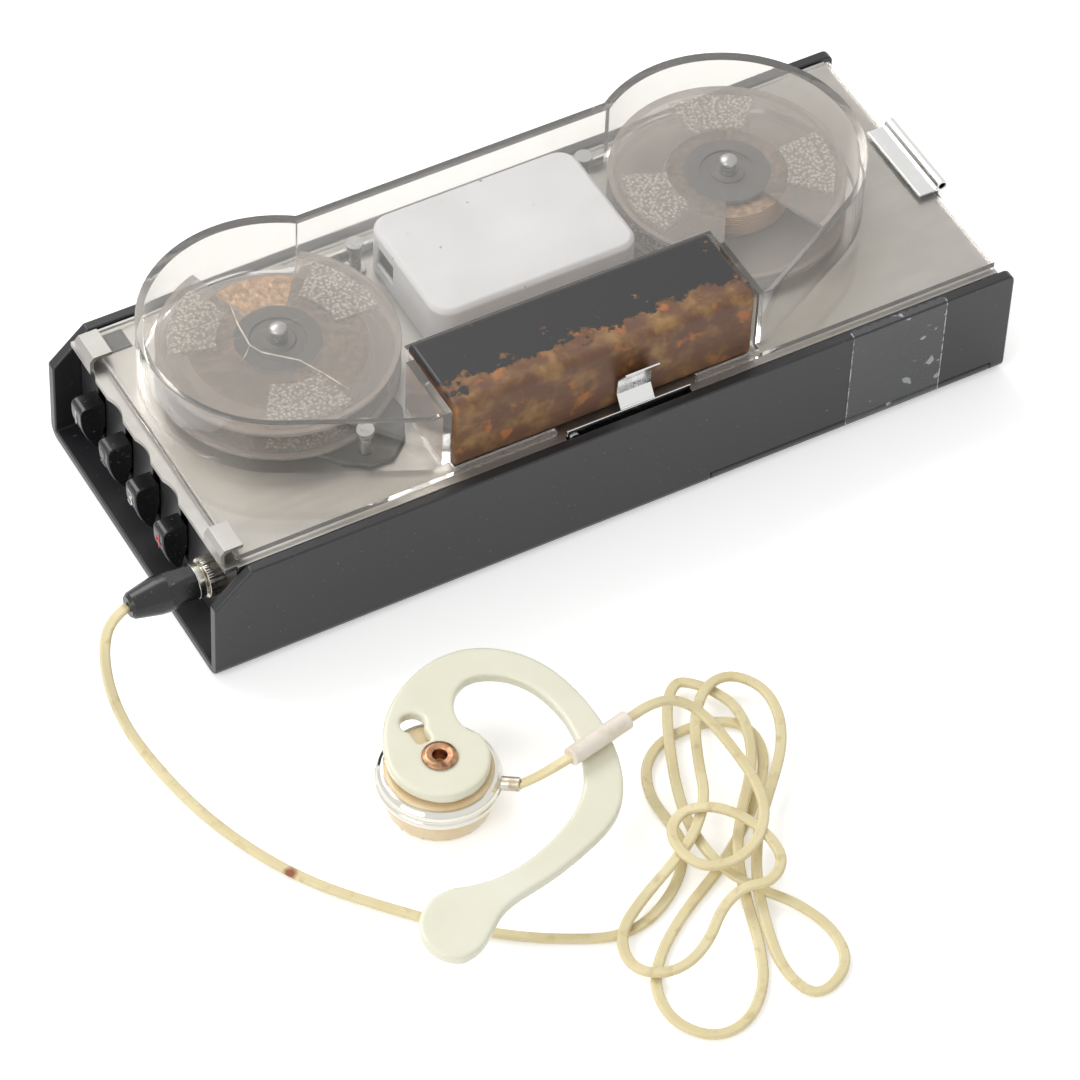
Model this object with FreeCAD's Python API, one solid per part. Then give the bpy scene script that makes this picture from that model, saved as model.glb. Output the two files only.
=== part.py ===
import FreeCAD, Part
import math
import os

# Pocket wire recorder with its earphone lead laid out beside it, in millimetres.
# The origin is the centre of the tray's footprint on the table. +X runs from the key end
# to the plain end, +Y away from the side with the battery, +Z up.

V = FreeCAD.Vector

# Driving dimensions of the case
CASE_L = 165.0
CASE_W = 67.5
CASE_H = 25.4
WALL = 2.1
FLOOR = 2.0
FIT = 0.3
RUN_FIT = 0.06
BOTTOM_R = 2.6
CHAMFER_X = 7.3
CHAMFER_Z = 6.9
END_R = 1.5

# Chassis plate and the black plate behind the keys
SHEET = 1.0
DECK_TOP = CASE_H - 0.4
DECK_X0 = -76.6
DECK_X1 = 80.2
KEY_PLATE_X = -77.0
LIP_OUT = 2.5
CLAW_OVER = 2.0

# Clear lid
LID_T = 1.3
LID_FLANGE_T = 1.2
LID_TOP = DECK_TOP + 14.6
LID_Y0 = -CASE_W / 2 + 3.75
LID_Y1 = CASE_W / 2 - 4.15
LID_R = 25.6
LID_BACK = CASE_W / 2 - 5.85
LID_NEAR = -CASE_W / 2 + 6.15

# Reels
REEL_L = V(-49.2, 6.8, 0)
REEL_R = V(44.1, 6.8, 0)
SPOOL_R = 22.2
SPOOL_T = 0.9
SPOOL_Z0 = DECK_TOP + 1.6
SPOOL_Z1 = SPOOL_Z0 + 7.0
HUB_R = 6.5
WEB_R = 8.2
PACK_L = 17.0
PACK_R = 12.0
SPINDLE_R = 1.7
SPINDLE_TOP = SPOOL_Z1 + 3.6
PULLEY_R = 11.0
PULLEY_Z = 17.0

# Battery, its clip and the cover over the head
TIN_X0 = -32.0
TIN_L = 60.8
TIN_Y0 = -CASE_W / 2 + 5.15
TIN_W = 18.5
TIN_H = 16.1
TIN_R = 2.0
CLIP_X = 3.9
CLIP_W = 7.0
COVER_X = -1.0
COVER_L = 42.3
COVER_W = CASE_W * 0.4148
COVER_Y = LID_BACK - 3.4 - COVER_W / 2
COVER_TOP = DECK_TOP + 10.5
COVER_R = 4.0

# Keys and the earphone socket
KEY_COUNT = 4
KEY_PITCH = 11.1
KEY_FIRST_Y = 22.7
KEY_W = 3.8
KEY_DEEP = 5.0
KEY_Z0 = 6.0
KEY_Z1 = 17.4
KEY_PIVOT = V(-66.0, 0, 12.0)
KEY_SHAFT_R = 1.0
JACK = V(KEY_PLATE_X, -23.6, 16.0)
NUT_R = 3.8
NUT_L = 3.0
PLUG_TIP_X = -94.6

# Earphone
EAR = V(-60.6, -76.3, 0)
EAR_R = 10.4
EAR_RING_R = 11.3
EAR_RING_Z0 = 5.8
EAR_RING_Z1 = 9.4
HOOK_Z0 = 10.3
HOOK_T = 2.2
EYELET_R = 3.2

# Cord, a six-sided tube as thick as the flat twin lead is on average
CORD_D = 2.0
CORD_SIDES = 6
CORD_FLOOR = CORD_D / 2
HANK_C = V(-24.6, -109.0, 0)
HANK_AXIS = math.radians(61.8)
HANK_START = 215.0
HANK_HALF = 38.4
HANK_WIDE = 18.0
HANK_NARROW = 14.0
HANK_SHIFT = 2.5
HANK_TURNS = 3.375
HANK_STEP = 5.2
HANK_PINCH = 0.45
HANK_WAIST = 13.0
HANK_LAYER = 2.5
TURN_STEPS = 8


def box(x0, x1, y0, y1, z0, z1):
    return Part.makeBox(x1 - x0, y1 - y0, z1 - z0, V(x0, y0, z0))


def rod(r, z0, z1, at=V(0, 0, 0)):
    return Part.makeCylinder(r, z1 - z0, V(at.x, at.y, z0))


def rod_x(r, x0, x1, y, z):
    return Part.makeCylinder(r, x1 - x0, V(x0, y, z), V(1, 0, 0))


def rod_y(r, y0, y1, x, z):
    return Part.makeCylinder(r, y1 - y0, V(x, y0, z), V(0, 1, 0))


def prism(points, step):
    """A closed outline of points moved along step."""
    face = Part.Face(Part.makePolygon(list(points) + [points[0]]))
    return face.extrude(step)


def turned(points, axis_at, axis=V(0, 0, 1)):
    """Revolve an outline given as (radius, height) pairs about an axis."""
    ring = [V(r, 0, z) for r, z in points]
    solid = Part.Face(Part.makePolygon(ring + [ring[0]])).revolve(V(0, 0, 0), V(0, 0, 1), 360)
    solid = solid.copy()
    turn = FreeCAD.Rotation(V(0, 0, 1), axis)
    solid.Placement = FreeCAD.Placement(axis_at, turn)
    return solid


def tray_profile(x0, x1):
    """The outer block of the case, with its long bottom edges rounded."""
    block = box(x0, x1, -CASE_W / 2, CASE_W / 2, 0, CASE_H)
    return fillet_where(block, BOTTOM_R, lambda e, c: along_x(e) and c.z < 0.01)


def along_x(edge):
    return abs(edge.BoundBox.XLength - edge.Length) < 0.01


def along_z(edge):
    return abs(edge.BoundBox.ZLength - edge.Length) < 0.01


def fillet_where(shape, radius, test):
    edges = [e for e in shape.Edges if test(e, e.CenterOfMass)]
    return shape.makeFillet(radius, edges)


# Opening in the underside, closed by the bottom cover
HATCH_X1 = CASE_L / 2 - 3.2
HATCH_X0 = HATCH_X1 - 60.1
HATCH_H = 3.0
HATCH_SIDE = 1.1


def hatch_zone(gap):
    x0 = HATCH_X0 - gap
    x1 = HATCH_X1 + gap
    floor = box(x0, x1, -CASE_W / 2 - 1, CASE_W / 2 + 1, -1, FLOOR)
    outer = box(x0, x1, -CASE_W / 2 - 1, CASE_W / 2 + 1, -1, HATCH_H + gap)
    half = CASE_W / 2 - HATCH_SIDE - gap
    inner = box(x0 - 1, x1 + 1, -half, half, -2, HATCH_H + 1)
    return floor.fuse(outer.cut(inner)).removeSplitter()


def case_tray():
    half = CASE_L / 2
    body = tray_profile(-half, half)
    y = CASE_W / 2 - WALL
    body = body.cut(box(-half - 1, half + 1, -y, y, FLOOR, CASE_H + 1))
    body = fillet_where(body, END_R, lambda e, c: c.x > half - 0.01 and c.z > CASE_H - 0.01
                        and abs(e.BoundBox.YLength - e.Length) < 0.01)
    slope = prism([V(-half - 1, -CASE_W, CASE_H - CHAMFER_Z - CHAMFER_Z / CHAMFER_X),
                   V(-half + CHAMFER_X + 1, -CASE_W, CASE_H + CHAMFER_Z / CHAMFER_X),
                   V(-half - 1, -CASE_W, CASE_H + 2)], V(0, 2 * CASE_W, 0))
    body = body.cut(slope)
    body = body.cut(hatch_zone(0.15))
    return body


def bottom_cover():
    plate = tray_profile(HATCH_X0, HATCH_X1).common(hatch_zone(0))
    return plate


def key_y(index):
    return KEY_FIRST_Y - index * KEY_PITCH


def key_plate():
    y = CASE_W / 2 - WALL - FIT
    plate = box(KEY_PLATE_X, KEY_PLATE_X + SHEET, -y, y, FLOOR, DECK_TOP - SHEET)
    for i in range(KEY_COUNT):
        c = key_y(i)
        plate = plate.cut(box(KEY_PLATE_X - 1, KEY_PLATE_X + 3, c - 1.3, c + 1.3, 6.5, 19.6))
    return plate.cut(rod_x(2.6, KEY_PLATE_X - 1, KEY_PLATE_X + 3, JACK.y, JACK.z))


def deck_plate():
    """The chassis sheet: deck, turned-down plain end, scalloped lip and two claws."""
    y = CASE_W / 2 - WALL - FIT
    deck = box(DECK_X0, DECK_X1, -y, y, DECK_TOP - SHEET, DECK_TOP)
    deck = deck.fuse(box(DECK_X1 - SHEET, DECK_X1, -y, y, FLOOR, DECK_TOP))
    lip = box(DECK_X0 - LIP_OUT, DECK_X0 + 1, -y + 0.5, y - 0.5, DECK_TOP - SHEET, DECK_TOP)
    for i in range(KEY_COUNT):
        x = DECK_X0 - LIP_OUT - 5.6
        lip = lip.cut(rod(6.4, 20, 30, V(x, key_y(i) + 1.0, 0)))
    deck = deck.fuse(lip)
    for side in (-1, 1):
        deck = deck.fuse(claw(side))
    for spot in (REEL_L, REEL_R):
        deck = deck.cut(rod(3.4, 20, 30, spot))
    deck = deck.cut(box(COVER_X - 9, COVER_X + 9, COVER_Y - 6.5, COVER_Y + 6.5, 20, 30))
    deck = deck.cut(box(BLADE_X0 - FIT, BLADE_X1 + FIT, -y - 1, BLADE_Y + BLADE_T, 20, 30))
    return deck.removeSplitter()


def claw(side):
    """A hook at one corner of the lip that reaches over the lid's corner."""
    x0 = DECK_X0 - LIP_OUT
    under = DECK_TOP + FIT + LID_FLANGE_T + 0.6
    t = 0.8
    points = [V(x0, 0, DECK_TOP - SHEET), V(x0 + t, 0, DECK_TOP - SHEET),
              V(x0 + t, 0, under - 0.5), V(x0 + t + 0.6, 0, under),
              V(DECK_X0 + CLAW_OVER, 0, under), V(DECK_X0 + CLAW_OVER, 0, under + t),
              V(x0 + t, 0, under + t), V(x0, 0, under - 0.2)]
    y0 = side * (CASE_W / 2 - 7.75) - 3.2
    piece = prism([p + V(0, y0, 0) for p in points], V(0, 6.4, 0))
    return piece


def lid_outline(inset, z0, z1):
    """The raised lid's plan: two round bulges, a straight back and two straight near walls."""
    r = LID_R - inset
    near = LID_NEAR + inset
    blocks = []
    corners = []
    for centre, tip_x, side in ((REEL_L, -36.8, -1), (REEL_R, 33.2, 1)):
        to_tip = V(tip_x - centre.x, LID_NEAR - centre.y, 0)
        bend = math.acos(LID_R / to_tip.Length)
        angle = math.atan2(to_tip.y, to_tip.x) + side * bend
        out = V(math.cos(angle), math.sin(angle), 0)
        touch = centre + out * r
        run = (V(tip_x, LID_NEAR, 0) - (centre + out * LID_R)).normalize()
        corner = touch + run * ((near - touch.y) / run.y)
        corners.append((touch, corner))
        blocks.append(rod(r, z0, z1, centre))
    (touch_l, tip_l), (touch_r, tip_r) = corners
    back = LID_BACK - inset
    ring = [touch_l, tip_l, tip_r, touch_r, V(REEL_R.x, back, 0), V(REEL_L.x, back, 0)]
    body = prism([V(p.x, p.y, z0) for p in ring], V(0, 0, z1 - z0))
    for b in blocks:
        body = body.fuse(b)
    return body.removeSplitter()


BAY_X0 = TIN_X0 - 0.5
BAY_X1 = TIN_X0 + TIN_L + 1.6
BAY_Y1 = TIN_Y0 + TIN_W + 0.4


def lid():
    """The clear moulding, given as its flange, its top and its two ends' walls."""
    z0 = DECK_TOP + FIT
    flange = box(DECK_X0, DECK_X1, LID_Y0, LID_Y1, z0, z0 + LID_FLANGE_T)
    flange = fillet_where(flange, LID_FLANGE_T / 2 - 0.01, lambda e, c: c.x < DECK_X0 + 0.01
                          and abs(e.BoundBox.YLength - e.Length) < 0.01)
    shell = lid_outline(0, z0, LID_TOP)
    over_wall = CASE_W / 2 - WALL - FIT
    for s in (-1, 1):
        edge = sorted((s * over_wall, s * (over_wall + 9)))
        shell = shell.cut(box(-90, 90, edge[0], edge[1], z0 - 1, CASE_H + FIT))
    shell = shell.fuse(flange).cut(lid_outline(LID_T, z0 - 1, LID_TOP - LID_T))
    ends = [(BAY_X0 - LID_T, BAY_X0), (BAY_X1, BAY_X1 + LID_T)]
    for x0, x1 in ends:
        shell = shell.fuse(box(x0, x1, LID_NEAR, -12.8, z0, LID_TOP))
    shell = shell.cut(box(BAY_X0, BAY_X1, TIN_Y0 - 0.4, BAY_Y1, z0 - 2, LID_TOP + 1))
    shell = shell.cut(box(BAY_X0, BAY_X1, TIN_Y0 - 2.4, BAY_Y1, z0 + LID_FLANGE_T, LID_TOP + 1))
    notch = box(CLIP_X - 16.0, CLIP_X + 13.0, LID_Y0 - 1, TIN_Y0 + 1, z0 - 1, z0 + 4)
    shell = shell.cut(notch).removeSplitter()
    low = z0 + LID_FLANGE_T
    high = LID_TOP - LID_T
    zones = {"lid_flange": box(-90, 90, -40, 40, z0 - 1, low),
             "lid_top": box(-90, 90, -40, 40, high, LID_TOP + 1),
             "lid_wall_left": box(-90, COVER_X, -40, 40, low, high),
             "lid_wall_right": box(COVER_X, 90, -40, 40, low, high)}
    return {name: shell.common(zone) for name, zone in zones.items()}


def lid_latch():
    """Sprung strip folded over the lid's plain edge, gripping the deck's turned-down end."""
    x = DECK_X1 + FIT
    z0 = DECK_TOP + FIT + LID_FLANGE_T
    half = 9.5
    leg = box(x, x + 0.6, -half, half, DECK_TOP - 8.0, z0 + 0.6)
    top = box(x - 4.0, x + 0.6, -half, half, z0, z0 + 0.6)
    roll = rod_y(1.2, -half, half, x + 0.9, z0 + 0.9)
    bore = rod_y(0.7, -half - 1, half + 1, x + 0.9, z0 + 0.9)
    return leg.fuse(top).fuse(roll).cut(bore).removeSplitter()


def battery_tin():
    z0 = DECK_TOP
    tin = box(TIN_X0, TIN_X0 + TIN_L, TIN_Y0, TIN_Y0 + TIN_W, z0, z0 + TIN_H)
    return fillet_where(tin, TIN_R, lambda e, c: along_x(e))


BLADE_X0 = CLIP_X - 14.4
BLADE_X1 = CLIP_X + 11.0
BLADE_Y = -CASE_W / 2 + WALL + 0.65
BLADE_T = 0.4
BLADE_TOP = DECK_TOP + 1.6
CLIP_BEND_Z = BLADE_TOP + 0.35


def clip_blade():
    """Spring blade that stands in the channel beside the lid, against the deck's edge."""
    return box(BLADE_X0, BLADE_X1, BLADE_Y, BLADE_Y + BLADE_T, DECK_TOP - 2.5, BLADE_TOP)


def battery_clip():
    """The finger above the blade that holds the battery and bends outward to free it."""
    z = [CLIP_BEND_Z, DECK_TOP + 4.5, DECK_TOP + 8.0, DECK_TOP + 11.8]
    lean = [BLADE_Y, TIN_Y0 - 0.35 - BLADE_T, TIN_Y0 - 0.5 - BLADE_T, TIN_Y0 - 3.6]
    outer = [V(0, a, b) for a, b in zip(lean, z)]
    inner = [p + V(0, BLADE_T, 0) for p in reversed(outer)]
    finger = prism([p + V(CLIP_X - CLIP_W / 2, 0, 0) for p in outer + inner], V(CLIP_W, 0, 0))
    bend = rod_x(0.3, CLIP_X - CLIP_W / 2, CLIP_X + CLIP_W / 2, BLADE_Y + BLADE_T / 2, CLIP_BEND_Z)
    return finger.fuse(bend)


def clip_rivet():
    x = CLIP_X - 13.0
    return rod_y(1.1, BLADE_Y - 0.3, BLADE_Y, x, DECK_TOP - 0.6)


def mech_cover():
    """Painted sheet cover over the head and wire guides, open below."""
    x0 = COVER_X - COVER_L / 2
    y0 = COVER_Y - COVER_W / 2
    outer = box(x0, x0 + COVER_L, y0, y0 + COVER_W, DECK_TOP, COVER_TOP)
    outer = fillet_where(outer, COVER_R, lambda e, c: along_z(e))
    outer = outer.makeChamfer(0.8, [e for e in outer.Edges if e.CenterOfMass.z > COVER_TOP - 0.01])
    t = 0.8
    inner = box(x0 + t, x0 + COVER_L - t, y0 + t, y0 + COVER_W - t, DECK_TOP - 1, COVER_TOP - t)
    inner = fillet_where(inner, COVER_R - t, lambda e, c: along_z(e))
    cover = outer.cut(inner)
    wire_gate = box(x0 - 1, x0 + COVER_L + 1, COVER_Y + 3.5, COVER_Y + 9.5, WIRE_Z - 2.2, WIRE_Z + 2.2)
    return cover.cut(wire_gate)


WIRE_Z = (SPOOL_Z0 + SPOOL_Z1) / 2
HEAD_STEM_R = 2.0


def head_block():
    """Level-wind head: a slotted block on a stem that rises and falls with the wire."""
    c = V(COVER_X, COVER_Y + 6.5, 0)
    block = box(c.x - 4, c.x + 4, c.y - 5, c.y + 5, WIRE_Z - 3.0, WIRE_Z + 2.4)
    groove = box(c.x - 5, c.x + 5, c.y - 0.4, c.y + 0.4, WIRE_Z - 0.4, WIRE_Z + 4)
    stem = rod(HEAD_STEM_R, 14.0, WIRE_Z - 2.9, V(c.x, COVER_Y, 0))
    foot = box(c.x - 3, c.x + 3, COVER_Y - HEAD_STEM_R, c.y + 5, WIRE_Z - 3.0, WIRE_Z - 2.0)
    return block.cut(groove).fuse(foot).fuse(stem).removeSplitter()


def head_guide():
    """Tube that the head's stem runs in."""
    at = V(COVER_X, COVER_Y, 0)
    tube = rod(3.6, FLOOR, 20.0, at).cut(rod(HEAD_STEM_R + RUN_FIT, FLOOR + 1.0, 21.0, at))
    return tube


def guide_post(x, y):
    top = WIRE_Z + 2.0
    post = [(0, DECK_TOP), (2.2, DECK_TOP), (2.2, DECK_TOP + 0.8), (1.2, DECK_TOP + 0.8),
            (1.2, top - 1.4), (1.7, top - 1.2), (1.7, top), (0, top)]
    return turned(post, V(x, y, 0))


def spool(centre, cut_angle):
    """Moulded reel: two flanges on a webbed hub, the top one open over one sector."""
    top = rod(SPOOL_R, SPOOL_Z1 - SPOOL_T, SPOOL_Z1, centre)
    low = rod(SPOOL_R, SPOOL_Z0, SPOOL_Z0 + SPOOL_T, centre)
    a = math.radians(cut_angle)
    half = math.radians(27)
    reach = 40.0
    wedge = prism([V(centre.x, centre.y, 30),
                   centre + V(reach * math.cos(a - half), reach * math.sin(a - half), 30),
                   centre + V(reach * math.cos(a + half), reach * math.sin(a + half), 30)],
                  V(0, 0, 10))
    wedge = wedge.cut(rod(WEB_R, 29, 41, centre))
    body = top.cut(wedge).fuse(low).fuse(rod(HUB_R, SPOOL_Z0, SPOOL_Z1, centre))
    body = body.cut(rod(SPINDLE_R, SPOOL_Z0 - 1, SPOOL_Z1 + 1, centre))
    ring = rod(5.2, SPOOL_Z1 - 0.4, SPOOL_Z1 + 1, centre).cut(rod(3.2, 30, 40, centre))
    return body.cut(ring).removeSplitter()


def wire_pack(centre, radius):
    """The wound steel wire between the flanges, slightly crowned."""
    z0 = SPOOL_Z0 + SPOOL_T
    z1 = SPOOL_Z1 - SPOOL_T
    mid = (z0 + z1) / 2
    points = [(HUB_R, z0), (radius - 0.5, z0), (radius, mid - 1.2), (radius, mid + 1.2),
              (radius - 0.5, z1), (HUB_R, z1)]
    return turned(points, centre)


def spindle(centre):
    """Reel shaft: domed tip, seat flange above the deck, pulley below it."""
    points = [(0, 4.6), (SPINDLE_R, 4.6), (SPINDLE_R, PULLEY_Z), (3.0, PULLEY_Z),
              (3.0, SPOOL_Z0), (SPINDLE_R, SPOOL_Z0), (SPINDLE_R, SPINDLE_TOP - 0.8),
              (0, SPINDLE_TOP)]
    return turned(points, centre)


def reel_pulley(centre):
    z = PULLEY_Z
    points = [(3.0, z), (PULLEY_R, z), (PULLEY_R, z + 0.6), (PULLEY_R - 1.2, z + 1.6),
              (PULLEY_R, z + 2.6), (PULLEY_R, z + 3.2), (3.0, z + 3.2)]
    return turned(points, centre)


def reel_bearing(centre):
    """Foot bearing that the reel shaft turns in."""
    points = [(0, FLOOR), (5.0, FLOOR), (5.0, 3.4), (3.6, 4.4), (3.6, 9.0),
              (SPINDLE_R + RUN_FIT, 9.0), (SPINDLE_R + RUN_FIT, 4.5), (0, 4.5)]
    return turned(points, centre)


MOTOR = V(66.0, -16.0, 0)
MOTOR_R = 9.0
MOTOR_TOP = 15.0
MOTOR_PULLEY_R = 3.4


def motor():
    can = rod(MOTOR_R, FLOOR + FIT, MOTOR_TOP, MOTOR)
    can = can.makeChamfer(0.8, [e for e in can.Edges if e.CenterOfMass.z > MOTOR_TOP - 0.01])
    nose = rod(3.0, MOTOR_TOP, MOTOR_TOP + 0.8, MOTOR)
    return can.fuse(nose).cut(rod(0.8 + RUN_FIT, MOTOR_TOP - 4, MOTOR_TOP + 2, MOTOR))


def motor_pulley():
    z = PULLEY_Z
    r = MOTOR_PULLEY_R
    points = [(0, MOTOR_TOP - 3), (0.8, MOTOR_TOP - 3), (0.8, z), (r, z), (r, z + 0.6),
              (r - 1.0, z + 1.6), (r, z + 2.6), (r, z + 3.2), (0, z + 3.2)]
    return turned(points, MOTOR)


def belt(a, ra, b, rb, z):
    """Round-cornered band about two pulleys, just clear of their grooves."""
    t = 0.5
    h = 0.5

    def band(extra):
        ca = rod(ra + extra, z - h, z + h, a)
        cb = rod(rb + extra, z - h, z + h, b)
        gap = b - a
        base = math.atan2(gap.y, gap.x)
        swing = math.acos((ra - rb) / gap.Length)
        ring = []
        for s in (1, -1):
            u = V(math.cos(base + s * swing), math.sin(base + s * swing), 0)
            ring.append((a + u * (ra + extra), b + u * (rb + extra)))
        pts = [ring[0][0], ring[0][1], ring[1][1], ring[1][0]]
        mid = prism([V(p.x, p.y, z - h) for p in pts], V(0, 0, 2 * h))
        return ca.fuse(cb).fuse(mid).removeSplitter()

    return band(t + 0.15).cut(band(0.15))


def circuit_board():
    board = box(-34.0, 30.0, -CASE_W / 2 + WALL + 1.65, -4.0, 4.4, 5.6)
    for x in (-30.0, 26.0):
        board = board.fuse(rod(2.0, FLOOR, 4.4, V(x, -7.0, 0)))
    return board


def board_parts():
    """Capacitors, transistors and a transformer standing on the board."""
    z = 5.6
    parts = [box(-30, -20, -27, -17, z, z + 9)]
    for i in range(2):
        parts.append(rod(2.4, z, z + 7, V(-12 + 12 * i, -24, 0)))
    for i in range(2):
        parts.append(box(-14 + 12 * i, -8 + 12 * i, -14, -10, z, z + 5))
    return Part.makeCompound(parts)


def key(index):
    """Lever on the common shaft, with the tall rounded cap outside the plate."""
    c = key_y(index)
    x1 = KEY_PLATE_X - 0.3
    x0 = x1 - KEY_DEEP
    cap = box(x0, x1, c - KEY_W / 2, c + KEY_W / 2, KEY_Z0, KEY_Z1)
    cap = fillet_where(cap, 1.2, lambda e, m: m.x < x0 + 0.01 and m.z > KEY_Z1 - 0.01)
    belly = rod_y(14.0, c - 4, c + 4, x0 + 14.0, KEY_Z1 - 2.0)
    keep = box(x0 - 1, x1 + 1, c - 4, c + 4, KEY_Z1 - 2.0, KEY_Z1 + 1)
    cap = cap.common(belly.fuse(keep))
    p = KEY_PIVOT
    heel = [V(x1, c - 4, p.z), V(x1 - 1.4, c - 4, KEY_Z0), V(x1 + 1, c - 4, KEY_Z0 - 1),
            V(x1 + 1, c - 4, p.z)]
    cap = cap.cut(prism(heel, V(0, 8, 0)))
    lever = box(x1 - 0.1, p.x, c - 1.0, c + 1.0, 9.6, 13.6)
    boss = rod_y(2.6, c - 1.0, c + 1.0, p.x, p.z)
    bore = rod_y(KEY_SHAFT_R + RUN_FIT, c - 3, c + 3, p.x, p.z)
    return cap.fuse(lever).fuse(boss).cut(bore).removeSplitter()


def key_shaft():
    p = KEY_PIVOT
    y0 = key_y(KEY_COUNT - 1) - 5.0
    y1 = key_y(0) + 5.0
    return rod_y(KEY_SHAFT_R, y0, y1, p.x, p.z)


def shaft_stand(y):
    """Post that holds one end of the key shaft."""
    p = KEY_PIVOT
    post = box(p.x - 2.2, p.x + 2.2, y - 0.9, y + 0.9, FLOOR, p.z + 2.4)
    return post.cut(rod_y(KEY_SHAFT_R, y - 3, y + 3, p.x, p.z))


def jack():
    bush = rod_x(2.5, JACK.x - 2.6, JACK.x + 12.0, JACK.y, JACK.z)
    block = box(JACK.x + SHEET + 0.1, JACK.x + 11, JACK.y - 4, JACK.y + 4, JACK.z - 4.5, JACK.z + 4.5)
    bore = rod_x(1.3, JACK.x - 5, JACK.x + 10.5, JACK.y, JACK.z)
    return bush.fuse(block).cut(bore)


def jack_nut():
    """Knurled ring nut that clamps the socket to the plate."""
    corners = []
    ridges = 24
    for i in range(2 * ridges):
        a = math.pi * i / ridges
        r = NUT_R - 0.2 * (i % 2)
        corners.append(V(JACK.x - NUT_L, JACK.y + r * math.cos(a), JACK.z + r * math.sin(a)))
    nut = prism(corners, V(NUT_L, 0, 0))
    return nut.cut(rod_x(2.5, JACK.x - NUT_L - 1, JACK.x + 1, JACK.y, JACK.z))


def plug_ring():
    """Metal front of the plug with its pin in the socket."""
    x1 = JACK.x - NUT_L
    points = [(0, -1.9), (3.3, -1.9), (3.3, -0.5), (2.7, -0.5), (2.7, 0), (1.2, 0),
              (1.2, 11.0), (0.6, 12.0), (0, 12.3)]
    return turned(points, V(x1, JACK.y, JACK.z), V(1, 0, 0))


def plug_body():
    """Moulded black grip, flat-sided near the ring and tapered to the cord."""
    x1 = JACK.x - NUT_L - 1.9
    length = x1 - PLUG_TIP_X
    points = [(0, 0), (2.0, 0), (2.5, 0.6), (3.5, length * 0.42), (3.65, length * 0.6),
              (3.4, length), (0, length)]
    body = turned(points, V(PLUG_TIP_X, JACK.y, JACK.z), V(1, 0, 0))
    for i in range(6):
        side = box(x1 - length * 0.42, x1 + 1, -5, 5, 3.25, 6)
        side.translate(V(0, JACK.y, JACK.z))
        side.rotate(V(0, JACK.y, JACK.z), V(1, 0, 0), 60 * i)
        body = body.cut(side)
    return body


def earphone_body():
    points = [(0, 0), (8.6, 0), (9.4, 0.8), (EAR_R, 4.6), (EAR_R, EAR_RING_Z0),
              (0, EAR_RING_Z0)]
    return turned(points, EAR)


def earphone_ring():
    z0 = EAR_RING_Z0
    z1 = EAR_RING_Z1
    r = EAR_RING_R
    mid = (z0 + z1) / 2
    points = [(0, z0), (r - 0.5, z0), (r, z0 + 0.5), (r, mid - 0.5), (r - 0.4, mid),
              (r - 0.3, mid + 0.4), (r - 0.4, z1 - 0.7), (r - 1.1, z1), (0, z1)]
    return turned(points, EAR)


def earphone_cap():
    points = [(0, EAR_RING_Z1), (9.8, EAR_RING_Z1), (9.3, EAR_RING_Z1 + 0.4),
              (1.8, EAR_RING_Z1 + 0.6), (0, EAR_RING_Z1 + 0.6)]
    return turned(points, EAR)


def eyelet():
    """Copper rivet that the ear hook swings on."""
    z = EAR_RING_Z1 + 0.6
    top = HOOK_Z0 + HOOK_T + 0.15
    neck = 1.9
    points = [(0, z), (neck, z), (neck, top), (EYELET_R, top), (EYELET_R, top + 0.3),
              (2.4, top + 0.7), (1.3, top + 0.5), (1.3, z + 0.4), (0, z + 0.4)]
    return turned(points, EAR)


def ear_hook():
    """Flat moulded hook: pivot disc, broad shoulder, long arc and a bulb at its end."""
    z0 = HOOK_Z0
    top = z0 + HOOK_T

    def curve(points):
        line = Part.BSplineCurve()
        line.interpolate([V(x, y, z0) for x, y in points])
        return line.toShape()

    outer = [(-69.0, -72.5), (-66.6, -66.5), (-58.5, -59.0), (-46.0, -56.4), (-36.5, -62.5),
             (-31.9, -75.0), (-32.8, -90.0), (-39.0, -101.0), (-48.0, -105.6), (-58.0, -108.4),
             (-67.0, -110.8), (-73.5, -115.6), (-77.9, -116.4)]
    bulb = [(-77.9, -116.4), (-81.2, -113.0), (-81.4, -107.5), (-77.6, -103.4), (-71.6, -102.6)]
    inner = [(-71.6, -102.6), (-62.0, -103.8), (-52.0, -101.0), (-43.4, -95.4), (-38.2, -86.0),
             (-37.6, -74.0), (-41.8, -65.6), (-48.4, -63.2), (-53.0, -67.4), (-51.9, -74.6)]
    disc = [(-51.9, -74.6), (-52.6, -80.2), (-57.2, -84.5), (-63.4, -84.7), (-68.0, -80.6),
            (-69.0, -72.5)]
    edges = [curve(p) for p in (outer, bulb, inner, disc)]
    hook = Part.Face(Part.Wire(edges)).extrude(V(0, 0, HOOK_T))
    hook = hook.cut(rod(1.9 + RUN_FIT, z0 - 1, top + 1, EAR))
    slot = rod(2.2, z0 - 1, top + 1, EAR + V(-0.6, 9.0, 0))
    slot = slot.fuse(box(EAR.x - 1.9, EAR.x + 0.7, EAR.y + 4.2, EAR.y + 9.0, z0 - 1, top + 1))
    return hook.cut(slot)


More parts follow.
